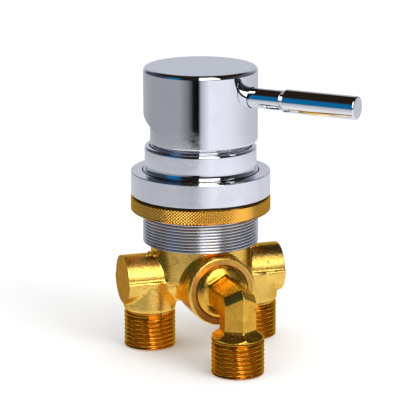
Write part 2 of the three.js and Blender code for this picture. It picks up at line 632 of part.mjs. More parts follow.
function cartridgeBase() {
  const low = FLOOR_Z + SLIP_GAP;
  const plug = CARTRIDGE_BORE - SLIP_GAP;
  const turnedBase = turned([
    [0, low], [CARTRIDGE_RADIUS, low], [CARTRIDGE_RADIUS, BASE_FLANGE_TOP],
    [plug, BASE_FLANGE_TOP], [plug, BASE_PLUG_TOP], [0, BASE_PLUG_TOP],
  ]);
  const sealSeat = FLOOR_Z + SEAT_GAP + SEAL_HEIGHT + SEAT_GAP;
  const sealBore = PORT_RADIUS + SEAL_WIDTH + SLIP_GAP;
  const bored = cut(
    solidFrom(turnedBase),
    ...portHoles(PORT_RADIUS - SLIP_GAP, low - OVERRUN, BASE_PLUG_TOP + OVERRUN),
    ...portHoles(sealBore, low - OVERRUN, sealSeat),
  );
  return piece("cartridge_base", geometryFrom(bored), PLASTIC);
}

function portSeal(name) {
  const low = FLOOR_Z + SEAT_GAP;
  const [x, y] = PORTS[name];
  const seal = ring(PORT_RADIUS, PORT_RADIUS + SEAL_WIDTH, low, low + SEAL_HEIGHT, SMALL_SIDES);
  return piece(`${name}_port_seal`, seal.translate(x, y, 0), RUBBER);
}

function fixedDisc() {
  const top = FIXED_DISC_Z + FIXED_DISC_THICKNESS;
  const blank = bar(CARTRIDGE_BORE - SLIP_GAP, [0, 0, FIXED_DISC_Z], [0, 0, top], SIDES);
  const holes = portHoles(PORT_RADIUS - SLIP_GAP, FIXED_DISC_Z - OVERRUN, top + OVERRUN);
  const bored = cut(solidFrom(blank), ...holes);
  return piece("fixed_disc", geometryFrom(bored), CERAMIC);
}

// The pieces below turn with the lever: +X is the lever's direction.
function movingDisc() {
  const centre = -DISC_STROKE / 2;
  const top = MOVING_DISC_Z + MOVING_DISC_THICKNESS;
  const blank = bar(DISC_RADIUS, [centre, 0, MOVING_DISC_Z], [centre, 0, top], SIDES);
  const pocketTop = MOVING_DISC_Z + MIXING_POCKET_DEPTH;
  const pocketFoot = MOVING_DISC_Z - OVERRUN;
  const pocket = bar(MIXING_POCKET_RADIUS, [centre, 0, pocketFoot], [centre, 0, pocketTop], SMALL_SIDES);
  return piece("moving_disc", geometryFrom(cut(solidFrom(blank), solidFrom(pocket))), CERAMIC);
}

function discDriver() {
  const centre = -DISC_STROKE / 2;
  const blank = bar(DISC_RADIUS, [centre, 0, DRIVER_Z], [centre, 0, DRIVER_TOP], SIDES);
  const half = FINGER_BALL_RADIUS + SWING_GAP;
  const socket = box([-half, -half, DRIVER_Z - OVERRUN], [half, half, DRIVER_TOP + OVERRUN]);
  return piece("disc_driver", geometryFrom(cut(solidFrom(blank), solidFrom(socket))), PLASTIC);
}

function cartridgeRotor() {
  const groove = ROTOR_GROOVE_Z;
  const grooveRadius = ROTOR_RADIUS - 2 * ORING_SECTION;
  const blank = turned([
    [0, ROTOR_Z],
    [ROTOR_RADIUS, ROTOR_Z],
    [ROTOR_RADIUS, groove - ORING_GROOVE_WIDTH / 2],
    [grooveRadius, groove - ORING_GROOVE_WIDTH / 2],
    [grooveRadius, groove + ORING_GROOVE_WIDTH / 2],
    [ROTOR_RADIUS, groove + ORING_GROOVE_WIDTH / 2],
    [ROTOR_RADIUS, ROTOR_TOP],
    [0, ROTOR_TOP],
  ]);
  const front = DISC_STROKE + FINGER_BALL_RADIUS + SWING_GAP;
  const rise = ROTOR_TOP - PIVOT_HEIGHT;
  const back = STEM_SIZE / 2 / Math.cos(TILT) + rise * Math.tan(TILT) + SWING_GAP;
  const side = STEM_SIZE / 2 + SWING_GAP;
  const slot = box([-back, -side, ROTOR_Z - OVERRUN], [front, side, ROTOR_TOP + OVERRUN]);
  const across = ROTOR_RADIUS + OVERRUN;
  const pinHole = bar(
    PIN_RADIUS + SLIP_GAP, [0, -across, PIVOT_HEIGHT], [0, across, PIVOT_HEIGHT], SMALL_SIDES);
  const slotted = cut(solidFrom(blank), solidFrom(slot), solidFrom(pinHole));
  return piece("cartridge_rotor", geometryFrom(slotted), PLASTIC);
}

function rotorORing() {
  const radius = ROTOR_RADIUS - ORING_SECTION + SLIP_GAP / 4;
  const torus = new THREE.TorusGeometry(radius, ORING_SECTION, RING_SIDES, SIDES);
  return piece("rotor_o_ring", torus.translate(0, 0, ROTOR_GROOVE_Z), RUBBER);
}

function stemPin() {
  const reach = ROTOR_RADIUS - PIN_INSET;
  const pin = bar(PIN_RADIUS, [0, -reach, PIVOT_HEIGHT], [0, reach, PIVOT_HEIGHT], SMALL_SIDES);
  return piece("stem_pin", pin, STEEL);
}

function stem() {
  const half = STEM_SIZE / 2;
  const shank = box([-half, -half, PIVOT_HEIGHT - half], [half, half, STEM_TOP]);
  const finger = bar(FINGER_RADIUS, [0, 0, BALL_Z], [0, 0, PIVOT_HEIGHT - half + OVERRUN], SMALL_SIDES);
  const ball = new THREE.SphereGeometry(FINGER_BALL_RADIUS, SMALL_SIDES, BALL_RINGS);
  ball.rotateX(Math.PI / 2).translate(0, 0, BALL_Z);
  const pinHole = bar(
    PIN_RADIUS + SLIP_GAP, [0, -STEM_SIZE, PIVOT_HEIGHT], [0, STEM_SIZE, PIVOT_HEIGHT], SMALL_SIDES);
  const whole = cut(joined(solidFrom(shank), solidFrom(finger), solidFrom(ball)), solidFrom(pinHole));
  return piece("stem", geometryFrom(whole), BRASS);
}

// The rear relief: a wedge under a plane that rises away from the lever.
function capRelief() {
  const reach = CAP_RADIUS + OVERRUN;
  const far = RELIEF_START + RELIEF_SLOPE * reach;
  const low = CAP_BOTTOM - OVERRUN;
  const ringAt = (y) => [[0, y, low], [0, y, RELIEF_START], [-reach, y, far], [-reach, y, low]];
  return solidFrom(lofted([ringAt(-reach), ringAt(reach)]));
}

function handleCap() {
  const inner = CAP_RADIUS - CAP_WALL;
  const ceiling = CAP_TOP - CAP_CEILING;
  const hubFoot = ceiling - CAP_HUB_LENGTH;
  const shell = turned([
    [0, hubFoot],
    [CAP_HUB_RADIUS, hubFoot],
    [CAP_HUB_RADIUS, ceiling],
    [inner, ceiling],
    [inner, CAP_BOTTOM],
    ...rounded(
      [CAP_RADIUS - CAP_FOOT_ROUND, CAP_BOTTOM + CAP_FOOT_ROUND], CAP_FOOT_ROUND, CAP_FOOT_ROUND, -90, 0),
    ...rounded([CAP_RADIUS - CAP_ROUND, CAP_TOP - CAP_ROUND], CAP_ROUND, CAP_ROUND, 0, 90),
    [0, CAP_TOP],
  ]);
  const half = STEM_SIZE / 2 + SLIP_GAP;
  const socket = box([-half, -half, hubFoot - OVERRUN], [half, half, STEM_TOP + SLIP_GAP]);
  const wall = CAP_RADIUS + OVERRUN;
  const leverHole = bar(
    LEVER_ROD_RADIUS + SLIP_GAP, [0, 0, LEVER_HEIGHT], [wall, 0, LEVER_HEIGHT], SMALL_SIDES);
  const whole = cut(solidFrom(shell), solidFrom(socket), solidFrom(leverHole), capRelief());
  return piece("handle_cap", geometryFrom(whole), CHROME);
}

// A turned piece laid along the lever: its heights count outwards from the barrel axis.
function alongLever(geometry) {
  return geometry.rotateY(Math.PI / 2).translate(0, 0, LEVER_HEIGHT);
}

function setScrew() {
  const end = SCREW_START + SET_SCREW_LENGTH;
  const blank = bar(LEVER_ROD_RADIUS, [0, 0, SCREW_START], [0, 0, end], SMALL_SIDES);
  const middle = end - SET_SCREW_LENGTH / 2;
  const key = bar(SET_SCREW_KEY_RADIUS, [0, 0, middle], [0, 0, end + OVERRUN], RING_SIDES);
  const screw = geometryFrom(cut(solidFrom(blank), solidFrom(key)));
  return piece("handle_set_screw", alongLever(screw), STEEL);
}

function leverRod() {
  return piece("lever_rod", alongLever(turned([
    [0, ROD_START], [LEVER_ROD_RADIUS, ROD_START], [LEVER_ROD_RADIUS, LEVER_ROD_END],
    [LEVER_SPIGOT_RADIUS, LEVER_ROD_END], [LEVER_SPIGOT_RADIUS, GRIP_START + LEVER_SPIGOT_LENGTH],
    [0, GRIP_START + LEVER_SPIGOT_LENGTH],
  ], SMALL_SIDES)), CHROME);
}

function leverGrip() {
  const bore = LEVER_SPIGOT_RADIUS + SLIP_GAP;
  const boreEnd = GRIP_START + LEVER_SPIGOT_LENGTH + SLIP_GAP;
  const face = LEVER_GRIP_RADIUS - LEVER_GRIP_CHAMFER;
  return piece("lever_grip", alongLever(turned([
    [0, boreEnd], [bore, boreEnd], [bore, GRIP_START],
    [face, GRIP_START], [LEVER_GRIP_RADIUS, GRIP_START + LEVER_GRIP_CHAMFER],
    [LEVER_GRIP_RADIUS, LEVER_END - LEVER_GRIP_CHAMFER], [face, LEVER_END], [0, LEVER_END],
  ], SMALL_SIDES)), CHROME);
}

const fixedPieces = new THREE.Group();
fixedPieces.add(
  valveBody(), outletElbow(), elbowORing(), threadedSleeve(), bodyORing(), flange(), flangeGasket(),
  collar(), lipRing(), domeNut(), cartridgeHousing(), cartridgeBase(), fixedDisc(),
  ...Object.keys(PORTS).map(portSeal),
);

const lockNut = new THREE.Group();
lockNut.add(clampWasher(), knurledNut());

const turningPieces = new THREE.Group();
turningPieces.rotation.z = THREE.MathUtils.degToRad(LEVER_HEADING);
turningPieces.add(
  movingDisc(), discDriver(), cartridgeRotor(), rotorORing(), stemPin(),
  stem(), handleCap(), setScrew(), leverRod(), leverGrip(),
);

const mixerValve = new THREE.Group();
mixerValve.add(fixedPieces, lockNut, turningPieces);

export default mixerValve;
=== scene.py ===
"""Finished pieces for a three way mixing valve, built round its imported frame. Metres, +Z up."""
import json
import math

import bmesh
import bpy
import numpy as np
from bpy.props import FloatProperty, FloatVectorProperty, IntProperty, PointerProperty
from mathutils import Matrix, Vector


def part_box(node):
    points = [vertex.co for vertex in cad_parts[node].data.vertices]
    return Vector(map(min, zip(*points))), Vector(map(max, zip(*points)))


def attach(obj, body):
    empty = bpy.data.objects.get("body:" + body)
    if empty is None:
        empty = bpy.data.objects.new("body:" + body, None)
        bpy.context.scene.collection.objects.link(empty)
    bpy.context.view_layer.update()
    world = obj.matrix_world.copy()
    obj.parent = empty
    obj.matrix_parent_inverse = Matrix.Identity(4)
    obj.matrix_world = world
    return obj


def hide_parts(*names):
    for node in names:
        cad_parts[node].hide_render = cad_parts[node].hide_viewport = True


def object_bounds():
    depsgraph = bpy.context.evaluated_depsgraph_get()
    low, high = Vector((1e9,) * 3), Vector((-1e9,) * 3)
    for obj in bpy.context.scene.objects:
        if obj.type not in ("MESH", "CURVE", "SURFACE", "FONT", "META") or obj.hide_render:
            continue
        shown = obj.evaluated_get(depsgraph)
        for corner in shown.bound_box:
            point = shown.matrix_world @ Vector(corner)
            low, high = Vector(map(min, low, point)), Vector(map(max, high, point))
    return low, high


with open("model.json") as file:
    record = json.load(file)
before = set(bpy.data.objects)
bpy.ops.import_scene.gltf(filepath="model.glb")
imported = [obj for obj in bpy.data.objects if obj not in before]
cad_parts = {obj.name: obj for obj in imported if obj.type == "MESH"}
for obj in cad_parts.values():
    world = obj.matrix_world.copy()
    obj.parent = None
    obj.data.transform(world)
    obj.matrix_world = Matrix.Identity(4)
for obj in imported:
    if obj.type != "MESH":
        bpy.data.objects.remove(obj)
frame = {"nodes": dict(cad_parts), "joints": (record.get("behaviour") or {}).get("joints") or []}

bl_info = {
    "name": "Mixing Valve Finish",
    "version": (1, 0, 0),
    "blender": (4, 5, 0),
    "location": "View3D > Sidebar > Valve",
    "description": "Builds the finished castings, threads, chrome and studio of a mixing valve",
    "category": "Object",
}

MM = 0.001
TURN = 2 * math.pi
HOLD = 0.03 * MM  # how far from a corner a straight is held flat
FINE = 192  # sides of the polished pieces
CAST = 96  # sides of the cast and sawn pieces
SLIP = 0.3 * MM  # radial gap between pieces that slide into each other

CAD_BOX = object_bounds()
INLET_X = 22 * MM


# --- Places read from the frame ---------------------------------------------------------------

def points_of(node):
    return np.array([vertex.co for vertex in frame["nodes"][node].data.vertices])


def radius_of(node):
    return float(np.hypot(*points_of(node)[:, :2].T).max())


def bore_of(node):
    return float(np.hypot(*points_of(node)[:, :2].T).min())


def heights_of(node):
    low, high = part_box(node)
    return low.z, high.z


def lever_direction():
    tilt = next(joint for joint in frame["joints"] if joint["name"] == "handle_tilt")
    axis = Vector(tilt["axis"])
    return Vector((-axis.y, axis.x, 0)).normalized()


LEVER = lever_direction()
LEVER_TURN = math.atan2(LEVER.y, LEVER.x)
LEVER_Z = sum(heights_of("lever_grip")) / 2
FLOOR_Z = CAD_BOX[0][2]


# --- Mesh making ------------------------------------------------------------------------------

def solid(name, points, faces):
    """An object from points and faces, with its faces turned outwards."""
    mesh = bpy.data.meshes.new(name)
    mesh.from_pydata([tuple(point) for point in points], [], faces)
    shape = bmesh.new()
    shape.from_mesh(mesh)
    bmesh.ops.recalc_face_normals(shape, faces=shape.faces)
    shape.to_mesh(mesh)
    shape.free()
    piece = bpy.data.objects.new(name, mesh)
    bpy.context.scene.collection.objects.link(piece)
    return piece


def held_flat(profile):
    """The profile with a point just inside each end of its long straights."""
    ends = profile + profile[:1] if profile[0][0] > 0 else profile
    points = []
    for start, end in zip(ends, ends[1:]):
        points.append(start)
        length = math.dist(start, end)
        if length > 8 * HOLD:
            for share in (HOLD / length, 1 - HOLD / length):
                points.append(tuple(a + (b - a) * share for a, b in zip(start, end)))
    if profile[0][0] == 0:
        points.append(profile[-1])
    return points


def turned(name, profile, sides=FINE):
    """A solid turned about Z from (radius, height) points."""
    loop = held_flat(profile)
    angles = np.arange(sides) * TURN / sides
    points = []
    rows = []
    for radius, height in loop:
        first = len(points)
        if radius < 1e-9:
            points.append((0, 0, height))
            rows.append([first])
        else:
            points.extend((radius * math.cos(a), radius * math.sin(a), height) for a in angles)
            rows.append(list(range(first, first + sides)))
    pairs = list(zip(rows, rows[1:]))
    if profile[0][0] > 0:
        pairs.append((rows[-1], rows[0]))
    faces = []
    for low, high in pairs:
        for i in range(sides):
            j = (i + 1) % sides
            corners = (low[i % len(low)], low[j % len(low)], high[j % len(high)], high[i % len(high)])
            faces.append(tuple(dict.fromkeys(corners)))
    return solid(name, points, faces)


def arc(centre, width, height, start, end, steps=8):
    """Points on part of an ellipse, from one angle in degrees to another."""
    turns = np.radians(np.linspace(start, end, steps + 1))
    return [(centre[0] + width * math.cos(t), centre[1] + height * math.sin(t)) for t in turns]


def rows_between(radius, low, high, step):
    """Close points up a straight wall, for a pattern that is cut into it."""
    count = max(2, round((high - low) / step))
    return [(radius, low + (high - low) * i / count) for i in range(count + 1)]


def round_bar(name, radius, start, end, sides=CAST, edge=0):
    """A round bar between two points, with its edges rounded by edge."""
    start, end = Vector(start), Vector(end)
    length = (end - start).length
    profile = [(0, 0), (radius, 0), (radius, length), (0, length)]
    if edge:
        profile = [(0, 0), *arc((radius - edge, edge), edge, edge, -90, 0, 4),
                   *arc((radius - edge, length - edge), edge, edge, 0, 90, 4), (0, length)]
    bar = turned(name, profile, sides)
    turn = Vector((0, 0, 1)).rotation_difference(end - start)
    bar.data.transform(Matrix.Translation(start) @ turn.to_matrix().to_4x4())
    return bar


def block(name, low, high):
    corners = [(x, y, z) for x in (low[0], high[0]) for y in (low[1], high[1]) for z in (low[2], high[2])]
    faces = [(0, 1, 3, 2), (4, 5, 7, 6), (0, 1, 5, 4), (2, 3, 7, 6), (0, 2, 6, 4), (1, 3, 7, 5)]
    return solid(name, corners, faces)


def settled(piece):
    """The piece with its modifiers worked into its mesh."""
    graph = bpy.context.evaluated_depsgraph_get()
    mesh = bpy.data.meshes.new_from_object(piece.evaluated_get(graph), depsgraph=graph)
    old = piece.data
    piece.modifiers.clear()
    piece.data = mesh
    mesh.name = piece.name
    bpy.data.meshes.remove(old)
    return piece


def combined(piece, operation, *tools):
    """The piece joined with the tools, or cut by them; the tools are used up."""
    for tool in tools:
        step = piece.modifiers.new("combine", "BOOLEAN")
        step.operation = operation
        step.object = tool
        step.solver = "MANIFOLD"
    settled(piece)
    for tool in tools:
        bpy.data.objects.remove(tool)
    return piece


def cast_skin(piece, grain, rounds, strength=0.5):
    """The piece with its corners softened as a casting's or a forging's are."""
    remesh = piece.modifiers.new("skin", "REMESH")
    remesh.mode = "VOXEL"
    remesh.voxel_size = grain
    smooth = piece.modifiers.new("soften", "SMOOTH")
    smooth.factor = strength
    smooth.iterations = rounds
    return settled(piece)


def smooth_shaded(piece, degrees=32):
    piece.data.shade_smooth()
    piece.data.set_sharp_from_angle(angle=math.radians(degrees))
    return piece


def laid_outwards(piece, height):
    """A piece turned about Z is laid along -Y at a height: its own heights count outwards."""
    piece.data.transform(Matrix.Translation((0, 0, height)) @ Matrix.Rotation(math.pi / 2, 4, "X"))
    return piece


def laid_on_lever(piece):
    """A piece turned about Z is laid along the lever: its own heights count outwards."""
    turn = Matrix.Rotation(LEVER_TURN, 4, "Z") @ Matrix.Rotation(math.pi / 2, 4, "Y")
    piece.data.transform(Matrix.Translation((0, 0, LEVER_Z)) @ turn)
    return piece


def finish_named(name):
    return bpy.data.materials[name + "_finish"]


def painted(piece, *materials):
    piece.data.materials.clear()
    for material in materials:
        piece.data.materials.append(material)
    return piece


def paint_where(piece, test):
    """Gives each face the material slot that test(centres, normals) returns for it."""
    mesh = piece.data
    centres = np.empty(len(mesh.polygons) * 3)
    normals = np.empty(len(mesh.polygons) * 3)
    mesh.polygons.foreach_get("center", centres)
    mesh.polygons.foreach_get("normal", normals)
    slots = test(centres.reshape(-1, 3), normals.reshape(-1, 3)).astype(np.int32)
    mesh.polygons.foreach_set("material_index", slots)
    mesh.update()
    return piece


def fitted(piece, body, slot, *nodes):
    """The piece rides on a body and stands for CAD nodes, which are hidden; slot is not used."""
    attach(piece, body)
    if nodes:
        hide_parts(*nodes)
    return piece


def finished(piece, finish, body, slot, node):
    """The piece painted all over, shaded smooth and fitted in place of its CAD node."""
    painted(piece, finish_named(finish))
    return fitted(smooth_shaded(piece), body, slot, node)


# --- Node trees -------------------------------------------------------------------------------

class Wire:
    """A node's output, with the arithmetic that Math nodes do."""

    def __init__(self, tree, socket):
        self.tree = tree
        self.socket = socket

    def maths(self, operation, *others):
        return self.tree.node("ShaderNodeMath", {"operation": operation}, dict(enumerate((self, *others))))

    def __add__(self, other):
        return self.maths("ADD", other)

    def __sub__(self, other):
        return self.maths("SUBTRACT", other)

    def __mul__(self, other):
        return self.maths("MULTIPLY", other)

    def __truediv__(self, other):
        return self.maths("DIVIDE", other)

    def __rsub__(self, other):
        return self.tree.value_first("SUBTRACT", other, self)

    def __rtruediv__(self, other):
        return self.tree.value_first("DIVIDE", other, self)

    __radd__ = __add__
    __rmul__ = __mul__

    def __neg__(self):
        return self * -1

    def __abs__(self):
        return self.maths("ABSOLUTE")

    def fract(self):
        return self.maths("FRACT")

    def least(self, other):
        return self.maths("MINIMUM", other)

    def most(self, other):
        return self.maths("MAXIMUM", other)

    def above(self, other):
        return self.maths("GREATER_THAN", other)

    def from_axis(self, other):
        """How far a point is from the Z axis, from its x and its y."""
        return (self * self + other * other).maths("SQRT")

    def ramped(self, low, high, to_low=0.0, to_high=1.0):
        """Goes smoothly from to_low to to_high as the value goes from low to high."""
        values = {"Value": self, "From Min": low, "From Max": high, "To Min": to_low, "To Max": to_high}
        return self.tree.node("ShaderNodeMapRange", {"interpolation_type": "SMOOTHSTEP"}, values)

    def output(self, name):
        return Wire(self.tree, self.socket.node.outputs[name])


class Tree:
    """A node tree that is filled one node at a time."""

    def __init__(self, node_tree):
        self.nodes = node_tree.nodes
        self.links = node_tree.links

    def node(self, kind, settings=None, values=None, output=0):
        """Adds a node, makes its settings, then sets or links its sockets, and returns an output."""
        node = self.nodes.new(kind)
        for name, value in (settings or {}).items():
            if name == "stops":
                self.set_stops(node.color_ramp, value)
            else:
                setattr(node, name, value)
        for key, value in (values or {}).items():
            if isinstance(value, Wire):
                self.links.new(value.socket, node.inputs[key])
            else:
                node.inputs[key].default_value = value
        return Wire(self, node.outputs[output]) if len(node.outputs) else node

    def value_first(self, operation, value, wire):
        return self.node("ShaderNodeMath", {"operation": operation}, {0: value, 1: wire})

    @staticmethod
    def set_stops(ramp, stops):
        while len(ramp.elements) < len(stops):
            ramp.elements.new(1.0)
        for element, (place, colour) in zip(ramp.elements, stops):
            element.position = place
            element.color = (*colour, 1)

    def mixed(self, share, first, second):
        """One colour turning into another."""
        return self.node("ShaderNodeMix", {"data_type": "RGBA"}, {0: share, 6: first, 7: second}, 2)

    def ramp(self, share, stops):
        return self.node("ShaderNodeValToRGB", {"stops": stops}, {0: share})

    def split(self, vector):
        xyz = self.node("ShaderNodeSeparateXYZ", None, {0: vector})
        return xyz, xyz.output("Y"), xyz.output("Z")

    def joined_xyz(self, x, y, z):
        return self.node("ShaderNodeCombineXYZ", None, {0: x, 1: y, 2: z})

    def noise(self, place, scale, detail=3.0, rough=0.55):
        """Noise from 0 to 1, with scale in blotches per metre."""
        values = {"Vector": place, "Scale": scale, "Detail": detail, "Roughness": rough}
        return self.node("ShaderNodeTexNoise", None, values)

    def place(self):
        """Where a point is on the object, in metres."""
        return self.node("ShaderNodeTexCoord", None, None, "Object")


def rgba(colour):
    return (*colour, 1)


def shade(colour, factor):
    return tuple(min(1.0, channel * factor) for channel in colour)


class Finish(Tree):
    """A material with one Principled shader, which a finish function fills."""

    def __init__(self, name):
        self.material = bpy.data.materials.new(name + "_finish")
        self.material.use_nodes = True
        super().__init__(self.material.node_tree)
        self.shader = self.nodes["Principled BSDF"]

    def toned(self, share, colour, first, second):
        """The colour, going from one shade of it to another."""
        return self.mixed(share, rgba(shade(colour, first)), rgba(shade(colour, second)))

    def streaks(self, across, along, detail):
        """Noise with its own scale along the Z axis, both scales in blotches per metre."""
        x, y, z = self.split(self.place())
        return self.noise(self.joined_xyz(x * across, y * across, z * along), 1.0, detail)

    def done(self, colour, rough, metal=1.0, bump=None, depth=0.1 * MM, strength=1.0, **plain):
        """Sets the shader: colour, rough and bump may vary over the surface, and the rest is plain."""
        values = {"Base Color": colour, "Roughness": rough, "Metallic": metal, **plain}
        if bump is not None:
            bumped = {"Height": bump, "Distance": depth, "Strength": strength}
            values["Normal"] = self.node("ShaderNodeBump", None, bumped)
        for name, value in values.items():
            if isinstance(value, Wire):
                self.links.new(value.socket, self.shader.inputs[name])
            else:
                self.shader.inputs[name].default_value = value
        return self.material


BRASS_EDGE = {"Specular Tint": (1.0, 0.72, 0.30, 1)}  # keeps brass golden where it is seen edge on
STAIN = (0.30, 0.14, 0.015)
FORGED_STAIN = (0.26, 0.11, 0.012)
RUBBED = (0.98, 0.74, 0.30)
# Painted shade: the colour that the roots of the knurl are darkened to.
KNURL_ROOT_SHADE = (0.62, 0.27, 0.03)
DUST = 0.08  # how much lighter dust makes black rubber


def chrome_finish(colour):
    """Bright plating with a faint ripple, fine wiping marks and thin dulling."""
    finish = Finish("chrome")
    place = finish.place()
    ripple = finish.noise(place, 160, 2)
    wipe = finish.noise(place, 2600, 2)
    dull = finish.noise(place, 90, 4).ramped(0.45, 0.75)
    tone = finish.toned(dull, colour, 1, 0.94)
    rough = 0.012 + dull * 0.035 + wipe * 0.02
    return finish.done(tone, rough, bump=ripple + wipe * 0.03, depth=0.03 * MM, strength=0.35)


def brushed_chrome_finish(colour):
    """Plating over a turned face: faint rings left by the lathe."""
    finish = Finish("turned_chrome")
    rings = finish.streaks(60, 4200, 3)
    dull = finish.noise(finish.place(), 120, 4).ramped(0.4, 0.75)
    tone = finish.toned(dull, colour, 1, 0.93)
    return finish.done(tone, 0.08 + rings * 0.1 + dull * 0.05, bump=rings, depth=0.01 * MM, strength=0.4)


def cast_brass_finish(colour):
    """Cast brass: a grainy golden skin, with brown stains and bright rubbed spots."""
    finish = Finish("cast_brass")
    place = finish.place()
    blotches = finish.noise(place, 150, 5, 0.6)
    stain = finish.noise(place, 330, 7, 0.75).ramped(0.55, 0.68)
    rubbed = finish.noise(place, 260, 3).ramped(0.55, 0.75)
    grain = finish.noise(place, 1500, 4, 0.6)
    pits = finish.noise(place, 3600, 2)
    tone = finish.toned(blotches.ramped(0.3, 0.7), colour, 0.86, 1.1)
    tone = finish.mixed(stain * 0.6, tone, rgba(STAIN))
    tone = finish.mixed(rubbed * 0.3, tone, rgba(RUBBED))
    rough = 0.2 + grain * 0.1 + stain * 0.14 - rubbed * 0.05
    skin = grain + pits * 0.35 + blotches * 2.0
    return finish.done(tone, rough, bump=skin, depth=0.14 * MM, strength=0.5, **BRASS_EDGE)


def forged_brass_finish(colour):
    """Tumbled forged brass: smoother and brighter than the casting, with scale marks."""
    finish = Finish("forged_brass")
    place = finish.place()
    blotches = finish.noise(place, 210, 4, 0.6)
    stain = finish.noise(place, 380, 7, 0.75).ramped(0.54, 0.68)
    drawn = finish.streaks(900, 160, 3)
    tone = finish.toned(blotches.ramped(0.3, 0.7), colour, 0.8, 1.12)
    tone = finish.mixed(stain * 0.65, tone, rgba(FORGED_STAIN))
    rough = 0.19 + blotches * 0.12 + stain * 0.14
    return finish.done(tone, rough, bump=drawn + blotches * 1.5, depth=0.08 * MM, strength=0.5, **BRASS_EDGE)


def sawn_brass_finish(colour):
    """Faced brass: a pinkish, finely scored skin."""
    finish = Finish("faced_brass")
    score = finish.streaks(2200, 500, 3)
    blotches = finish.noise(finish.place(), 330, 5, 0.65)
    tone = finish.toned(blotches.ramped(0.35, 0.7), colour, 0.82, 1.08)
    rough = 0.36 + score * 0.14
    return finish.done(tone, rough, bump=score, depth=0.05 * MM, strength=0.5, **BRASS_EDGE)


def thread_brass_finish(colour):
    """Cut brass thread: darker in random blotches, with streaks round the crests."""
    finish = Finish("thread_brass")
    streak = finish.streaks(260, 2600, 4)
    blotches = finish.noise(finish.place(), 300, 4)
    tone = finish.toned(streak.ramped(0.3, 0.7), colour, 0.88, 1.1)
    tone = finish.mixed(blotches.ramped(0.5, 0.8) * 0.3, tone, rgba(shade(colour, 0.6)))
    return finish.done(tone, 0.16 + streak * 0.12, bump=streak, depth=0.015 * MM, strength=0.3, **BRASS_EDGE)


def knurl_finish(colour, outer, depth):
    """Rolled brass: bright points, and painted shade darkening the roots."""
    finish = Finish("rolled_brass")
    place = finish.place()
    speck = finish.noise(place, 1900, 3)
    blotches = finish.noise(place, 240, 4)
    x, y, _ = finish.split(place)
    point = x.from_axis(y).ramped(outer - depth * 0.8, outer - depth * 0.1)
    tone = finish.toned(blotches.ramped(0.3, 0.7), colour, 0.9, 1.08)
    # Painted shade: the colour is darkened towards the roots of the knurl.
    tone = finish.mixed(point, rgba(KNURL_ROOT_SHADE), tone)
    return finish.done(tone, 0.16 + speck * 0.1, bump=speck, depth=0.01 * MM, strength=0.3, **BRASS_EDGE)


def plated_thread_finish(colour, outer, depth):
    """Plated thread: bluish plating, with painted shade darkening the roots and the crests left bright."""
    finish = Finish("plated_thread")
    place = finish.place()
    x, y, _ = finish.split(place)
    streak = finish.streaks(200, 3000, 4)
    blotches = finish.noise(place, 260, 5, 0.65)
    crest = x.from_axis(y).ramped(outer - depth * 0.9, outer - depth * 0.2)
    tone = finish.toned(streak.ramped(0.3, 0.7), colour, 0.94, 1.06)
    tone = finish.mixed(blotches.ramped(0.55, 0.75) * 0.3, tone, rgba(shade(colour, 0.7)))
    # Painted shade: the roots of the thread are darkened to half the colour.
    tone = finish.mixed(crest, rgba(shade(colour, 0.5)), tone)
    return finish.done(tone, 0.15 + streak * 0.1, bump=streak, depth=0.01 * MM, strength=0.3)


def rubber_finish(name, colour):
    """Moulded rubber with a fine matt grain and dust."""
    finish = Finish(name)
    place = finish.place()
    grain = finish.noise(place, 2600, 3)
    dust = finish.noise(place, 380, 5, 0.7).ramped(0.5, 0.8)
    tone = finish.mixed(dust * 0.3, rgba(colour), rgba(tuple(channel + DUST for channel in colour)))
    return finish.done(tone, 0.55 + grain * 0.25, metal=0.0, bump=grain, depth=0.04 * MM, strength=0.6)


def fibre_finish(colour):
    """Pressed fibre washer with short flecks."""
    finish = Finish("washer_fibre")
    place = finish.place()
    flecks = finish.noise(place, 1400, 6, 0.8)
    tone = finish.toned(flecks.ramped(0.35, 0.65), colour, 0.7, 1.3)
    return finish.done(tone, 0.8, metal=0.0, bump=flecks, depth=0.05 * MM, strength=0.8)


def plastic_finish(name, colour, spark=1800):
    """Moulded plastic with a spark-eroded grain and faint flow lines."""
    finish = Finish(name)
    place = finish.place()
    grain = finish.noise(place, spark, 3)
    flow = finish.noise(place, 120, 2)
    tone = finish.toned(flow.ramped(0.35, 0.65), colour, 0.93, 1.03)
    return finish.done(tone, 0.38 + grain * 0.15, metal=0.0, bump=grain, depth=0.02 * MM, strength=0.4)


def ceramic_finish(colour):
    """Lapped ceramic: glossy, with a trace of mottling."""
    finish = Finish("ceramic")
    place = finish.place()
    mottle = finish.noise(place, 700, 5, 0.7)
    lap = finish.noise(place, 5200, 2)
    tone = finish.mixed(mottle.ramped(0.35, 0.7), rgba(shade(colour, 0.92)), rgba(colour))
    return finish.done(tone, 0.1 + lap * 0.08, metal=0.0, bump=lap, depth=0.005 * MM, strength=0.3)


def steel_finish(colour):
    """Drawn and ground steel with lengthwise grain."""
    finish = Finish("steel")
    place = finish.place()
    grind = finish.noise(place, 3000, 4)
    blotches = finish.noise(place, 500, 3)
    tone = finish.toned(blotches.ramped(0.4, 0.7), colour, 0.85, 1.1)
    return finish.done(tone, 0.22 + grind * 0.15, bump=grind, depth=0.01 * MM, strength=0.5)


# --- Patterns cut by Geometry Nodes -----------------------------------------------------------

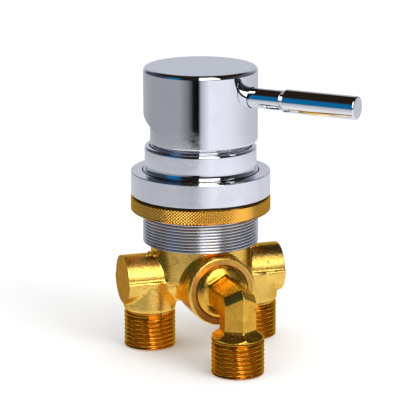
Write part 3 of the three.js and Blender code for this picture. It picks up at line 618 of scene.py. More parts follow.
class Pattern(Tree):
    """A Geometry Nodes tree that moves points on a round wall towards its axis."""

    def __init__(self, name, sizes):
        self.group = bpy.data.node_groups.new(name, "GeometryNodeTree")
        face = self.group.interface
        face.new_socket("Geometry", in_out="INPUT", socket_type="NodeSocketGeometry")
        face.new_socket("Axis", in_out="INPUT", socket_type="NodeSocketVector")
        for size in sizes:
            kind = "NodeSocketInt" if size == "Count" else "NodeSocketFloat"
            face.new_socket(size, in_out="INPUT", socket_type=kind)
        face.new_socket("Material", in_out="INPUT", socket_type="NodeSocketMaterial")
        face.new_socket("Geometry", in_out="OUTPUT", socket_type="NodeSocketGeometry")
        super().__init__(self.group)
        self.start = self.node("NodeGroupInput")
        place = self.node("GeometryNodeInputPosition")
        away = self.node("ShaderNodeVectorMath", {"operation": "SUBTRACT"}, {0: place, 1: self.size("Axis")})
        self.x, self.y, self.z = self.split(away)
        self.radius = self.x.from_axis(self.y)
        self.turn = self.y.maths("ARCTAN2", self.x) / TURN

    def size(self, name):
        return self.start.output(name)

    def on_wall(self, name):
        """1 on the wall whose radius is the named size, and 0 inside it."""
        return self.radius.above(self.size(name) - 0.02 * MM)

    def ended(self, depth):
        """Moves each point inwards by depth, then realizes and paints the result."""
        share = -depth / self.radius
        offset = self.joined_xyz(self.x * share, self.y * share, 0)
        moved = self.node("GeometryNodeSetPosition", None, {"Geometry": self.start, "Offset": offset})
        plain = self.node("GeometryNodeRealizeInstances", None, {"Geometry": moved})
        painted_out = self.node(
            "GeometryNodeSetMaterial", None, {"Geometry": plain, "Material": self.size("Material")})
        self.node("NodeGroupOutput", None, {0: painted_out})
        return self.group


def thread_pattern():
    """A helical thread between two heights that runs out at its top."""
    tree = Pattern("Cut Thread", ("Pitch", "Depth", "Crest Radius", "Crest Share", "Low", "High", "Run Out"))
    phase = (tree.z / tree.size("Pitch") - tree.turn).fract()
    groove = (1 - abs(phase - 0.5) * 2).ramped(tree.size("Crest Share"), 0.95)
    from_top = (tree.size("High") - tree.z) / tree.size("Run Out")
    inside = tree.z.above(tree.size("Low") - 1e-6)
    fade = from_top.most(0.0).least(1.0)
    return tree.ended(groove * fade * inside * tree.on_wall("Crest Radius") * tree.size("Depth"))


def knurl_pattern():
    """Diamond knurling: two crossed families of grooves round a wall."""
    tree = Pattern("Roll Knurl", ("Count", "Depth", "Face Radius", "Cell", "Middle"))
    round_turn = tree.turn * tree.size("Count")
    up = (tree.z - tree.size("Middle")) / tree.size("Cell")
    first = 1 - abs((round_turn + up).fract() * 2 - 1)
    second = 1 - abs((round_turn - up).fract() * 2 - 1)
    raised = (first.least(second) * 1.5).least(1.0)
    return tree.ended((1 - raised) * tree.on_wall("Face Radius") * tree.size("Depth"))


def patterned(piece, group, material, **sizes):
    """The piece with a pattern cut into it, as a plain mesh."""
    step = piece.modifiers.new(group.name, "NODES")
    step.node_group = group
    names = {name.replace("_", " "): value for name, value in sizes.items()}
    names["Material"] = material
    for item in group.interface.items_tree:
        if item.item_type == "SOCKET" and item.in_out == "INPUT" and item.name in names:
            step[item.identifier] = names[item.name]
    return settled(piece)


# --- Settings ---------------------------------------------------------------------------------

def length(name, description, default, **more):
    return FloatProperty(
        name=name, description=description, default=default, unit="LENGTH", precision=5, min=0, **more)


def colour(name, description, default):
    return FloatVectorProperty(
        name=name, description=description, default=default, subtype="COLOR", size=3, min=0, max=1)


class ValveSizes(bpy.types.PropertyGroup):
    """Sizes of the valve's details."""
    pipe_pitch: length("Pipe Pitch", "Pitch of the half inch pipe threads", 1.814 * MM)
    pipe_depth: length("Pipe Depth", "Depth of the pipe threads", 1.0 * MM)
    pipe_bore: length("Pipe Bore", "Radius of the bore in each pipe end", 7 * MM)
    sleeve_pitch: length("Sleeve Pitch", "Pitch of the sleeve's thread", 1.25 * MM)
    sleeve_depth: length("Sleeve Depth", "Depth of the sleeve's thread", 0.62 * MM)
    knurl_count: IntProperty(
        name="Knurl Count", description="Diamonds round the lock nut", default=126, min=24, max=300)
    knurl_depth: length("Knurl Depth", "Depth of the knurling", 0.36 * MM)
    knurl_row: length("Knurl Row", "Height of one diamond", 1.2 * MM)
    cast_grain: length("Cast Grain", "Size of the casting's softened corners", 0.42 * MM)
    cap_round: length("Cap Round", "Round on the handle's top edge", 1.7 * MM)
    cap_wall: length("Cap Wall", "Wall of the handle cap", 2.2 * MM)


class ValveColours(bpy.types.PropertyGroup):
    """Colours of the valve's metals and seals."""
    chrome: colour("Chrome", "Bright plating", (0.81, 0.83, 0.875))
    cast: colour("Cast Brass", "Skin of the valve body", (0.96, 0.60, 0.125))
    forged: colour("Forged Brass", "Skin of the outlet elbow", (0.90, 0.50, 0.065))
    faced: colour("Faced Brass", "Machined faces", (0.71, 0.385, 0.09))
    thread: colour("Thread Brass", "Pipe threads", (0.64, 0.30, 0.022))
    knurl: colour("Rolled Brass", "Knurled lock nut", (1.0, 0.60, 0.13))
    plated: colour("Plated Thread", "Threaded sleeve", (0.66, 0.68, 0.73))
    rubber: colour("Rubber", "Gaskets and O-rings", (0.012, 0.012, 0.013))
    seal: colour("Seal Rubber", "Port seals", (0.03, 0.03, 0.032))
    fibre: colour("Fibre", "Clamp washer", (0.05, 0.045, 0.04))
    housing: colour("Cartridge Plastic", "Cartridge housing and base", (0.75, 0.74, 0.69))
    rotor: colour("Rotor Plastic", "Cartridge rotor and driver", (0.07, 0.09, 0.12))
    ceramic: colour("Ceramic", "Sealing discs", (0.86, 0.85, 0.81))
    steel: colour("Steel", "Pin and set screw", (0.42, 0.43, 0.45))


class ValveStudio(bpy.types.PropertyGroup):
    """Where the camera stands and how bright the studio is."""
    azimuth: FloatProperty(
        name="Azimuth", description="How far round the valve the camera stands",
        default=math.radians(-18.5), subtype="ANGLE")
    elevation: FloatProperty(
        name="Elevation", description="How far down the camera looks", default=math.radians(14.4),
        subtype="ANGLE")
    distance: length("Distance", "Camera to the point it looks at", 0.88)
    lens: FloatProperty(name="Lens", description="Focal length in millimetres", default=186.3, min=20)
    aim_side: FloatProperty(
        name="Aim Side", description="How far right of the barrel axis the camera looks",
        default=3.0 * MM, unit="LENGTH")
    aim_height: FloatProperty(
        name="Aim Height", description="Height that the camera looks at", default=-6.4 * MM,
        unit="LENGTH")
    ambient: FloatProperty(name="Ambient", description="Strength of the even light", default=1.18, min=0)
    key: FloatProperty(name="Key", description="Power of the large soft light", default=3.0, min=0)
    paper: colour("Paper", "The pale floor", (0.86, 0.86, 0.86))


def sizes():
    return bpy.context.scene.valve_sizes


def colours():
    return bpy.context.scene.valve_colours


# --- Pieces -----------------------------------------------------------------------------------

BODY_LOW, BODY_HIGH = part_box("valve_body")
BARREL_R = bore_of("threaded_sleeve") - SLIP
PIPE_R = 10.48 * MM
PIPE_TOP = BODY_LOW.z + 14.2 * MM
FOOT_Z = PIPE_TOP + 0.8 * MM
INLET_Z = -33.2 * MM
INLET_R = 9.6 * MM
LEG_R = 10.8 * MM
LOWER_BOSS_R = 10.5 * MM
OUTLET_Z = -34.3 * MM
OUTLET_R = 14.1 * MM
OUTLET_FACE = 27.5 * MM
ELBOW_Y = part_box("outlet_elbow")[0].y + PIPE_R
ELBOW_SEAT = 21.3 * MM  # how far out the elbow's collar rests in the boss
SPIGOT_END = 13.8 * MM  # how far out the elbow's spigot begins
BARREL_FOOT = BODY_LOW.z + 27.8 * MM
SKIN_TOP = -14 * MM  # the cast skin of the barrel ends here, inside the sleeve
INLET_WAY_R = 4.4 * MM
OUTLET_WAY_R = 4.7 * MM
PORT_R = 3 * MM
OUTLET_PORT_Y = -8.5 * MM
WAY_SIDES = 48
PIPE_BORE_SIDES = 64
FAR = 60 * MM  # clear of every piece


def pipe_end(name, x, y, top):
    """A threaded pipe end: chamfered, threaded, with a relief above the thread."""
    detail = sizes()
    low = BODY_LOW.z
    bore = detail.pipe_bore
    chamfer = 0.5 * MM
    relief = PIPE_R - 0.95 * MM
    wall = rows_between(PIPE_R, low + chamfer, PIPE_TOP, detail.pipe_pitch / 10)
    piece = turned(name, [
        (bore + chamfer, low), (PIPE_R - 1.0 * MM, low), *wall,
        (relief, PIPE_TOP + 0.12 * MM), (relief, top), (bore, top), (bore, low + chamfer),
    ], CAST)
    piece.data.transform(Matrix.Translation((x, y, 0)))
    return patterned(
        piece, bpy.data.node_groups["Cut Thread"], finish_named("thread_brass"),
        Axis=(x, y, 0), Pitch=detail.pipe_pitch, Depth=detail.pipe_depth, Crest_Radius=PIPE_R,
        Crest_Share=0.1, Low=low + 0.4 * MM, High=PIPE_TOP, Run_Out=1.2 * MM)


class VALVE_OT_finishes(bpy.types.Operator):
    """Make the materials and the thread and knurl patterns"""
    bl_idname = "mixer_valve.finishes"
    bl_label = "Finishes"

    def execute(self, context):
        paint = colours()
        chrome_finish(paint.chrome)
        brushed_chrome_finish(paint.chrome)
        cast_brass_finish(paint.cast)
        forged_brass_finish(paint.forged)
        sawn_brass_finish(paint.faced)
        thread_brass_finish(paint.thread)
        knurl_finish(paint.knurl, radius_of("knurled_nut"), sizes().knurl_depth)
        plated_thread_finish(paint.plated, radius_of("threaded_sleeve"), sizes().sleeve_depth)
        rubber_finish("rubber", paint.rubber)
        rubber_finish("seal_rubber", paint.seal)
        fibre_finish(paint.fibre)
        plastic_finish("cartridge_plastic", paint.housing)
        plastic_finish("rotor_plastic", paint.rotor, 2400)
        ceramic_finish(paint.ceramic)
        steel_finish(paint.steel)
        thread_pattern()
        knurl_pattern()
        return {"FINISHED"}


def inlet_raw(side):
    """One inlet before its ends are faced: a leg, and a boss that is stouter in its lower half."""
    foot = 1.9 * MM
    end = side * (BODY_HIGH.x + 0.6 * MM)
    leg = turned("leg", [
        (0, FOOT_Z), *arc((LEG_R - foot, FOOT_Z + foot), foot, foot, -70, 0, 6),
        (LEG_R, INLET_Z), (0, INLET_Z)], CAST)
    leg.data.transform(Matrix.Translation((side * INLET_X, 0, 0)))
    boss = round_bar("boss", INLET_R, (side * MM, 0, INLET_Z), (end, 0, INLET_Z))
    lower = round_bar("lower_boss", LOWER_BOSS_R, (side * 12 * MM, 0, INLET_Z), (end, 0, INLET_Z))
    upper_half = block("upper_half", (-40 * MM, -15 * MM, INLET_Z), (40 * MM, 15 * MM, 0))
    return [leg, boss, combined(lower, "DIFFERENCE", upper_half)]


BEADS = ((20.9, -2.6, 0.9), (22.3, -1.8, 0.75), (23.8, -2.2, 0.6), (21.6, 1.5, 0.7))


def casting_beads(side):
    """The beads of flash on an inlet, each with its place along and across it and its radius, in mm."""
    beads = []
    for along, across, size in BEADS:
        height = math.sqrt(INLET_R ** 2 - (across * MM) ** 2) - 0.1 * MM
        radius = size * MM
        bead = turned("bead", [(0, -radius), *arc((0, 0), radius, radius, -75, 75, 8), (0, radius)], 24)
        bead.data.transform(Matrix.Translation((side * along * MM, across * MM, INLET_Z + height)))
        beads.append(bead)
    return beads


def cast_shape():
    """The barrel's foot with its bridge, outlet boss and inlets, as one softened casting."""
    rim = 0.7 * MM
    body = turned("valve_body_finished", [
        (0, BARREL_FOOT), *arc((BARREL_R - rim, BARREL_FOOT + rim), rim, rim, -90, 0, 4),
        (BARREL_R, SKIN_TOP), (0, SKIN_TOP)], CAST * 2)
    bridge = round_bar("bridge", 11.2 * MM, (-13 * MM, 0, INLET_Z), (13 * MM, 0, INLET_Z))
    bridge_top = block("bridge_top", (-14 * MM, -21 * MM, BARREL_FOOT + 2 * MM), (14 * MM, 21 * MM, 0))
    combined(bridge, "DIFFERENCE", bridge_top)
    boss, boss_end = OUTLET_R - 0.4 * MM, 24 * MM
    outlet = laid_outwards(
        turned("outlet", [(0, 0), (boss, 0), (boss, boss_end), (0, boss_end)], CAST), OUTLET_Z)
    combined(body, "UNION", bridge, outlet, *inlet_raw(-1), *inlet_raw(1))
    return cast_skin(body, sizes().cast_grain, 3)


def turned_additions():
    """What is turned and not cast: the outlet's ring and the barrel's neck, and the beads of flash."""
    chamfer = 0.9 * MM
    ring = laid_outwards(turned("ring", [
        (0, 12 * MM), (OUTLET_R, 12 * MM), (OUTLET_R, OUTLET_FACE - chamfer),
        *arc((OUTLET_R - chamfer, OUTLET_FACE - chamfer), chamfer, chamfer, 20, 70, 4),
        (OUTLET_R - 1.2 * chamfer, OUTLET_FACE), (0, OUTLET_FACE)], CAST * 2), OUTLET_Z)
    low, high = -18 * MM, heights_of("valve_body")[1]
    neck = turned("neck", [(0, low), (BARREL_R, low), (BARREL_R, high), (0, high)], FINE)
    return [ring, neck, *casting_beads(-1), *casting_beads(1)]


def body_cuts():
    """The faced ends, the elbow's seat, the outlet's way and the cartridge's chamber."""
    end = BODY_HIGH.x
    flat_low, flat_high = OUTLET_Z + 13.6 * MM, -19.9 * MM
    return [
        block("left_face", (-FAR, -FAR, -FAR), (-end, FAR, FAR)),
        block("right_face", (end, -FAR, -FAR), (FAR, FAR, FAR)),
        block("outlet_flat", (-20 * MM, -FAR, flat_low), (20 * MM, -BARREL_R + 1 * MM, flat_high)),
        round_bar("collar_bore", 11.1 * MM, (0, -FAR, OUTLET_Z), (0, -21 * MM, OUTLET_Z), CAST * 2),
        round_bar("spigot_bore", 8.2 * MM, (0, -FAR, OUTLET_Z), (0, -13.5 * MM, OUTLET_Z)),
        round_bar("outlet_way", OUTLET_WAY_R, (0, -FAR, OUTLET_Z), (0, OUTLET_PORT_Y, OUTLET_Z), WAY_SIDES),
        round_bar("outlet_port", PORT_R, (0, OUTLET_PORT_Y, OUTLET_Z), (0, OUTLET_PORT_Y, 0), WAY_SIDES),
        round_bar("chamber", 17.6 * MM, (0, 0, -5 * MM), (0, 0, FAR), FINE),
        round_bar("nut_thread", 19.3 * MM, (0, 0, 11.2 * MM), (0, 0, FAR), FINE),
    ]


def inlet_cuts(side):
    """An inlet's water way: up the leg, across in its boss, and up to the cartridge."""
    x, port, beside = side * INLET_X, side * 8 * MM, 2 * MM
    foot, bore_top, way_top = -FAR * 1.2, INLET_Z - 5.4 * MM, INLET_Z + 1 * MM
    return [
        round_bar("pipe_bore", sizes().pipe_bore, (x, 0, foot), (x, 0, bore_top), PIPE_BORE_SIDES),
        round_bar("riser", INLET_WAY_R, (x, 0, foot), (x, 0, way_top), WAY_SIDES),
        round_bar("crossway", INLET_WAY_R, (port * 0.6, 0, INLET_Z), (x, 0, INLET_Z), WAY_SIDES),
        round_bar("port", PORT_R, (port, beside, INLET_Z), (port, beside, 0), WAY_SIDES),
    ]


def body_finish_slots(centres, normals):
    """0 on cast faces, 1 on the pipe threads, and 2 on the faced ends."""
    x, y, z = centres.T
    near = 0.02 * MM
    thread = z < FOOT_Z - near
    sides = (abs(x) > BODY_HIGH.x - near) & (abs(normals[:, 0]) > 0.9)
    front = (y < -OUTLET_FACE + near) & (normals[:, 1] < -0.9)
    return np.where(thread, 1, np.where(sides | front, 2, 0))


class VALVE_OT_casting(bpy.types.Operator):
    """Build the brass valve body with its faced ends, bores and pipe threads"""
    bl_idname = "mixer_valve.casting"
    bl_label = "Valve Body"

    def execute(self, context):
        body = cast_shape()
        combined(body, "UNION", *turned_additions())
        combined(body, "DIFFERENCE", *body_cuts())
        ends = [pipe_end("pipe_end", side * INLET_X, 0, FOOT_Z + 0.3 * MM) for side in (-1, 1)]
        combined(body, "UNION", *ends)
        combined(body, "DIFFERENCE", *inlet_cuts(-1), *inlet_cuts(1))
        painted(body, *map(finish_named, ("cast_brass", "thread_brass", "faced_brass")))
        paint_where(body, body_finish_slots)
        smooth_shaded(body, 40)
        fitted(body, "fixed", "cast_brass", "valve_body")
        return {"FINISHED"}


def hex_section(radius, corner):
    """Points (across, out) round a six-sided bar with rounded corners, one corner straight out."""
    centre = radius - corner / math.cos(math.radians(30))
    points = []
    for k in range(6):
        for lean in (-30, -15, 0, 15, 30):
            side, edge = math.radians(60 * k), math.radians(60 * k + lean)
            across = centre * math.sin(side) + corner * math.sin(edge)
            points.append((across, centre * math.cos(side) + corner * math.cos(edge)))
    return points


def lofted(name, rings):
    """A closed solid through rings of points."""
    count = len(rings[0])
    faces = []
    for r in range(len(rings) - 1):
        for i in range(count):
            j = (i + 1) % count
            faces.append((r * count + i, r * count + j, (r + 1) * count + j, (r + 1) * count + i))
    faces.append(tuple(range(count)))
    faces.append(tuple(range((len(rings) - 1) * count, len(rings) * count)))
    return solid(name, [point for ring in rings for point in ring], faces)


def elbow_arm():
    """The bent bar: level, then straight down, with one flat across the outside of the bend."""
    section = hex_section(7.5 * MM, 0.8 * MM)
    flat = 2.3 * MM
    start, level, down, end = [], [], [], []
    for across, out in section:
        bevel = 0.2 * MM + flat * min(1.0, max(0.0, (out + 1 * MM) / (4 * MM)))
        y, z = ELBOW_Y - out, OUTLET_Z + out
        start.append((across, -20.4 * MM, z))
        level.append((across, y + bevel, z))
        down.append((across, y, z - bevel))
        end.append((across, y, PIPE_TOP + 1 * MM))
    return lofted("elbow_arm", [start, level, down, end])


def elbow_shoulder():
    """The six sloping flats that spread from the bar to the thread."""
    rings = []
    for radius, height in ((7.4, 2.8), (12.1, -0.3), (12.1, -0.6)):
        z = FOOT_Z + height * MM
        rings.append([(across, ELBOW_Y - out, z) for across, out in hex_section(radius * MM, 0.5 * MM)])
    below, above = (0, ELBOW_Y, FOOT_Z - 5 * MM), (0, ELBOW_Y, FOOT_Z + 9 * MM)
    shoulder = lofted("shoulder", rings)
    return combined(shoulder, "INTERSECT", round_bar("round", PIPE_R - 0.12 * MM, below, above))


def elbow_collar():
    """The spigot with its O-ring groove, and the collar that rests on the boss."""
    spigot, groove_r, collar = 7.9 * MM, 6.7 * MM, 10.8 * MM
    groove, half, edge = ELBOW_SEAT - 3.75 * MM, 1 * MM, 0.3 * MM
    return laid_outwards(turned("elbow_collar", [
        (0, SPIGOT_END), (spigot, SPIGOT_END), (spigot, groove - half), (groove_r, groove - half),
        (groove_r, groove + half), (spigot, groove + half), (spigot, ELBOW_SEAT), (collar, ELBOW_SEAT),
        (collar, OUTLET_FACE - edge), (collar - edge, OUTLET_FACE), (0, OUTLET_FACE)], CAST * 2), OUTLET_Z)


class VALVE_OT_elbow(bpy.types.Operator):
    """Build the forged outlet elbow with its collar, spigot and pipe thread"""
    bl_idname = "mixer_valve.elbow"
    bl_label = "Outlet Elbow"

    def execute(self, context):
        cone_r, dome_height = 10.6 * MM, 2.6 * MM
        dome = arc((5.6 * MM, OUTLET_FACE), 5.2 * MM, dome_height, 0, 90, 14)
        elbow = elbow_arm()
        elbow.name = "outlet_elbow_finished"
        shoulder = elbow_shoulder()
        cone = laid_outwards(turned("cone", [
            (0, ELBOW_SEAT), (cone_r, ELBOW_SEAT), (cone_r, OUTLET_FACE), *dome,
            (0, OUTLET_FACE + dome_height)], CAST), OUTLET_Z)
        combined(elbow, "UNION", shoulder, cone)
        cast_skin(elbow, 0.3 * MM, 7)
        combined(elbow, "UNION", elbow_collar(), pipe_end("tail", 0, ELBOW_Y, FOOT_Z))
        bend = (0, ELBOW_Y, OUTLET_Z)
        below = (0, ELBOW_Y, -72 * MM)
        combined(
            elbow, "DIFFERENCE",
            round_bar("way_in", OUTLET_WAY_R, (0, -SPIGOT_END + 2 * MM, OUTLET_Z), bend, WAY_SIDES),
            round_bar("way_down", OUTLET_WAY_R, bend, below, WAY_SIDES),
            round_bar("end_bore", sizes().pipe_bore, (0, ELBOW_Y, PIPE_TOP), below, PIPE_BORE_SIDES))
        painted(elbow, *map(finish_named, ("forged_brass", "thread_brass")))
        paint_where(elbow, lambda centres, normals: centres[:, 2] < PIPE_TOP + 0.1 * MM)
        smooth_shaded(elbow, 40)
        fitted(elbow, "fixed", "forged_brass", "outlet_elbow")
        return {"FINISHED"}


class VALVE_OT_sleeve(bpy.types.Operator):
    """Build the threaded sleeve round the barrel"""
    bl_idname = "mixer_valve.sleeve"
    bl_label = "Threaded Sleeve"

    def execute(self, context):
        detail = sizes()
        low, high = heights_of("threaded_sleeve")
        outer = radius_of("threaded_sleeve")
        bore = bore_of("threaded_sleeve")
        wall = rows_between(outer, low + 0.3 * MM, high - 0.4 * MM, detail.sleeve_pitch / 8)
        sleeve = turned("threaded_sleeve_finished", [
            (bore, low), (outer - 0.5 * MM, low), *wall, (outer - 0.4 * MM, high), (bore, high)], FINE)
        patterned(
            sleeve, bpy.data.node_groups["Cut Thread"], finish_named("plated_thread"),
            Axis=(0, 0, 0), Pitch=detail.sleeve_pitch, Depth=detail.sleeve_depth, Crest_Radius=outer,
            Crest_Share=0.3, Low=low + 0.2 * MM, High=high, Run_Out=1.5 * MM)
        smooth_shaded(sleeve, 60)
        fitted(sleeve, "fixed", "chrome_thread", "threaded_sleeve")
        return {"FINISHED"}


class VALVE_OT_lock_nut(bpy.types.Operator):
    """Build the knurled lock nut and its washer"""
    bl_idname = "mixer_valve.lock_nut"
    bl_label = "Lock Nut and Washer"

    def execute(self, context):
        detail = sizes()
        low, high = heights_of("knurled_nut")
        outer = radius_of("knurled_nut")
        bore = bore_of("knurled_nut")
        edge = 0.45 * MM
        count = detail.knurl_count
        wall = rows_between(outer, low + edge, high - edge, detail.knurl_row / 8)
        nut = turned("knurled_nut_finished", [
            (bore + 0.3 * MM, low), (outer - edge, low), *wall, (outer - edge, high),
            (bore + 0.3 * MM, high), (bore, high - 0.3 * MM), (bore, low + 0.3 * MM)], count * 8)
        step = (high - low - 2 * edge) / (len(wall) - 1)
        patterned(
            nut, bpy.data.node_groups["Roll Knurl"], finish_named("rolled_brass"), Axis=(0, 0, 0),
            Count=count, Depth=detail.knurl_depth, Face_Radius=outer, Cell=step * 8, Middle=low + edge)
        smooth_shaded(nut, 50)
        fitted(nut, "lock_nut", "turned_brass", "knurled_nut")

        low, high = heights_of("clamp_washer")
        inner, rim = bore_of("clamp_washer"), radius_of("clamp_washer")
        bulge = 0.1 * MM
        washer = turned("clamp_washer_finished", [
            (inner, low), *arc((rim - bulge, (low + high) / 2), bulge, (high - low) / 2, -90, 90, 6),
            (inner, high)])
        finished(washer, "washer_fibre", "nut_washer", "washer_fibre", "clamp_washer")
        return {"FINISHED"}


class VALVE_OT_deck_pieces(bpy.types.Operator):
    """Build the flange, its gasket and the collar above it"""
    bl_idname = "mixer_valve.deck_pieces"
    bl_label = "Flange, Gasket and Collar"

    def execute(self, context):
        low, high = heights_of("flange")
        outer, bore = radius_of("flange"), bore_of("flange")
        edge = 0.35 * MM
        gasket_low, gasket_high = heights_of("flange_gasket")
        gasket_in, gasket_out = bore_of("flange_gasket"), radius_of("flange_gasket")
        seat = gasket_high + 0.06 * MM
        flange = turned("flange_finished", [
            (bore, seat), (gasket_out + SLIP, seat), (gasket_out + SLIP, low),
            *arc((outer - edge, low + edge), edge, edge, -90, 0, 5),
            *arc((outer - edge, high - edge), edge, edge, 0, 90, 10), (bore, high)])
        finished(flange, "turned_chrome", "fixed", "chrome", "flange")

        bulge = 0.25 * MM
        side = gasket_out - bulge
        middle, half = (gasket_low + gasket_high) / 2, (gasket_high - gasket_low) / 2
        gasket = turned("flange_gasket_finished", [
            (gasket_in, gasket_low), (side, gasket_low), *arc((side, middle), bulge, half, -80, 80, 8),
            (side, gasket_high), (gasket_in, gasket_high)])
        finished(gasket, "rubber", "fixed", "rubber", "flange_gasket")

        low, high = heights_of("collar")
        foot, bore = radius_of("collar"), bore_of("collar")
        wall, round_off = foot - 0.6 * MM, 1.3 * MM
        collar = turned("collar_finished", [
            (bore, low), (foot - 0.2 * MM, low), (foot, low + 0.2 * MM),
            *arc((foot, low + 2.6 * MM), foot - wall, 2.3 * MM, 270, 180, 10),
            *arc((wall - round_off, high - round_off), round_off, round_off, 0, 90, 12),
            (bore + 0.3 * MM, high), (bore, high - 0.3 * MM)])
        finished(collar, "chrome", "fixed", "chrome", "collar")
        return {"FINISHED"}


class VALVE_OT_top_nut(bpy.types.Operator):
    """Build the lip ring and the domed nut that hold the cartridge"""
    bl_idname = "mixer_valve.top_nut"
    bl_label = "Lip Ring and Domed Nut"

    def execute(self, context):
        low, high = heights_of("lip_ring")
        outer, bore = radius_of("lip_ring"), bore_of("lip_ring")
        edge = 0.4 * MM
        lip = turned("lip_ring_finished", [
            (bore, low), (outer, low), *arc((outer - edge, high - edge), edge, edge, 0, 90, 6), (bore, high)])
        finished(lip, "chrome", "fixed", "chrome", "lip_ring")

        low, top = heights_of("dome_nut")
        outer = radius_of("dome_nut")
        rim, ceiling = high + 0.29 * MM, top - 2.2 * MM
        bore, hole, thread = 15.5 * MM, 8.5 * MM, 19 * MM
        dome_width, dome_height, chamfer, edge = 6 * MM, 3.5 * MM, 0.3 * MM, 0.5 * MM
        nut = turned("dome_nut_finished", [
            (bore, low), (thread, low), (thread, rim), (outer - chamfer, rim), (outer, rim + chamfer),
            *arc((outer - dome_width, top - dome_height), dome_width, dome_height, 0, 90, 20),
            *arc((hole + edge, top - edge), edge, edge, 90, 180, 6), (hole, ceiling), (bore, ceiling)])
        finished(nut, "chrome", "fixed", "chrome", "dome_nut")
        return {"FINISHED"}


class VALVE_OT_handle(bpy.types.Operator):
    """Build the handle cap with its hub, lever hole and rear relief"""
    bl_idname = "mixer_valve.handle"
    bl_label = "Handle Cap"

    def execute(self, context):
        detail = sizes()
        low, high = heights_of("handle_cap")
        outer = radius_of("handle_cap")
        inner = outer - detail.cap_wall
        ceiling = high - 2.6 * MM
        hub, hub_foot = 9 * MM, high - 15.6 * MM
        foot_round, top_round = 1.2 * MM, detail.cap_round
        cap = turned("handle_cap_finished", [
            (0, hub_foot), (hub, hub_foot), (hub, ceiling), (inner, ceiling), (inner, low + 0.2 * MM),
            (inner + 0.2 * MM, low),
            *arc((outer - foot_round, low + foot_round), foot_round, foot_round, -90, 0, 10),
            *arc((outer - top_round, high - top_round), top_round, top_round, 0, 90, 14), (0, high)])
        cap.data.transform(Matrix.Rotation(LEVER_TURN, 4, "Z"))
        reach, below = outer + 5 * MM, low - 5 * MM
        start, slope = 23.7 * MM, 0.49  # the relief's height on the axis, and its rise per metre of reach
        near, far = Vector((0, 0, 0)), -LEVER * reach
        aside = Vector((-LEVER.y, LEVER.x, 0)) * reach
        up = Vector((0, 0, 1))
        corners = [base + across + up * z for across in (-aside, aside) for base, z in (
            (near, below), (near, start), (far, start + slope * reach), (far, below))]
        wedge = solid("relief", corners, [
            (0, 1, 2, 3), (4, 5, 6, 7), (0, 1, 5, 4), (1, 2, 6, 5), (2, 3, 7, 6), (3, 0, 4, 7)])
        middle = up * LEVER_Z
        lever_hole = round_bar("lever_hole", 4.3 * MM, middle, LEVER * (outer + 2 * MM) + middle, 64)
        half = 3.8 * MM
        socket_top = heights_of("stem")[1] + SLIP
        socket = block("socket", (-half, -half, hub_foot - 1 * MM), (half, half, socket_top))
        socket.data.transform(Matrix.Rotation(LEVER_TURN, 4, "Z"))
        combined(cap, "DIFFERENCE", wedge, lever_hole, socket)
        finished(cap, "chrome", "handle", "chrome", "handle_cap")
        return {"FINISHED"}


class VALVE_OT_lever(bpy.types.Operator):
    """Build the lever's rod and grip"""
    bl_idname = "mixer_valve.lever"
    bl_label = "Lever"

    def execute(self, context):
        reach = points_of("lever_rod")[:, :2] @ np.array(LEVER[:2])
        rod_start, spigot_end = float(reach.min()), float(reach.max())
        rod_end, groove_end = 36.7 * MM, 38.2 * MM
        rod_r, spigot_r, grip_r = 4 * MM, 2.6 * MM, 4.7 * MM
        edge = 0.25 * MM
        rod = laid_on_lever(turned("lever_rod_finished", [
            (0, rod_start), (rod_r - edge, rod_start), (rod_r, rod_start + edge),
            *arc((rod_r - edge, rod_end - edge), edge, edge, 0, 90, 5),
            (spigot_r, rod_end), (spigot_r, spigot_end), (0, spigot_end)], CAST))
        finished(rod, "chrome", "handle", "chrome", "lever_rod")
        end = float((points_of("lever_grip")[:, :2] @ np.array(LEVER[:2])).max())
        bore = spigot_r + SLIP
        face_round = 0.6 * MM
        grip = laid_on_lever(turned("lever_grip_finished", [
            (0, spigot_end + SLIP), (bore, spigot_end + SLIP), (bore, groove_end),
            *arc((grip_r - edge, groove_end + edge), edge, edge, -90, 0, 5),
            *arc((grip_r - face_round, end - face_round), face_round, face_round, 0, 90, 8), (0, end)], CAST))
        finished(grip, "chrome", "handle", "chrome", "lever_grip")
        return {"FINISHED"}


INNER_FINISHES = {
    "cartridge_housing": "cartridge_plastic",
    "cartridge_base": "cartridge_plastic",
    "cartridge_rotor": "rotor_plastic",
    "disc_driver": "rotor_plastic",
    "fixed_disc": "ceramic",
    "moving_disc": "ceramic",
    "stem": "faced_brass",
    "stem_pin": "steel",
    "handle_set_screw": "steel",
    "elbow_o_ring": "rubber",
    "body_o_ring": "rubber",
    "rotor_o_ring": "rubber",
    "hot_port_seal": "seal_rubber",
    "cold_port_seal": "seal_rubber",
    "outlet_port_seal": "seal_rubber",
}


class VALVE_OT_cartridge(bpy.types.Operator):
    """Give the cartridge, stem and seals their finishes"""
    bl_idname = "mixer_valve.cartridge"
    bl_label = "Cartridge, Stem and Seals"

    def execute(self, context):
        for node, finish in INNER_FINISHES.items():
            painted(frame["nodes"][node], finish_named(finish))
        return {"FINISHED"}


def grey(value):
    """A grey a little on the blue side, as plating shows it."""
    return (value, value, value * 1.07)


PALE = (0.57, 0.59, 0.65)
BLUE = (0.003, 0.15, 0.36)
OVERHEAD = (0.020, 0.012, 0.007)
SOFTBOX = (4.3, 4.25, 4.1)
UNDERFOOT = (0.92, 0.92, 0.92)
WHITE = (1.0, 1.0, 1.0)

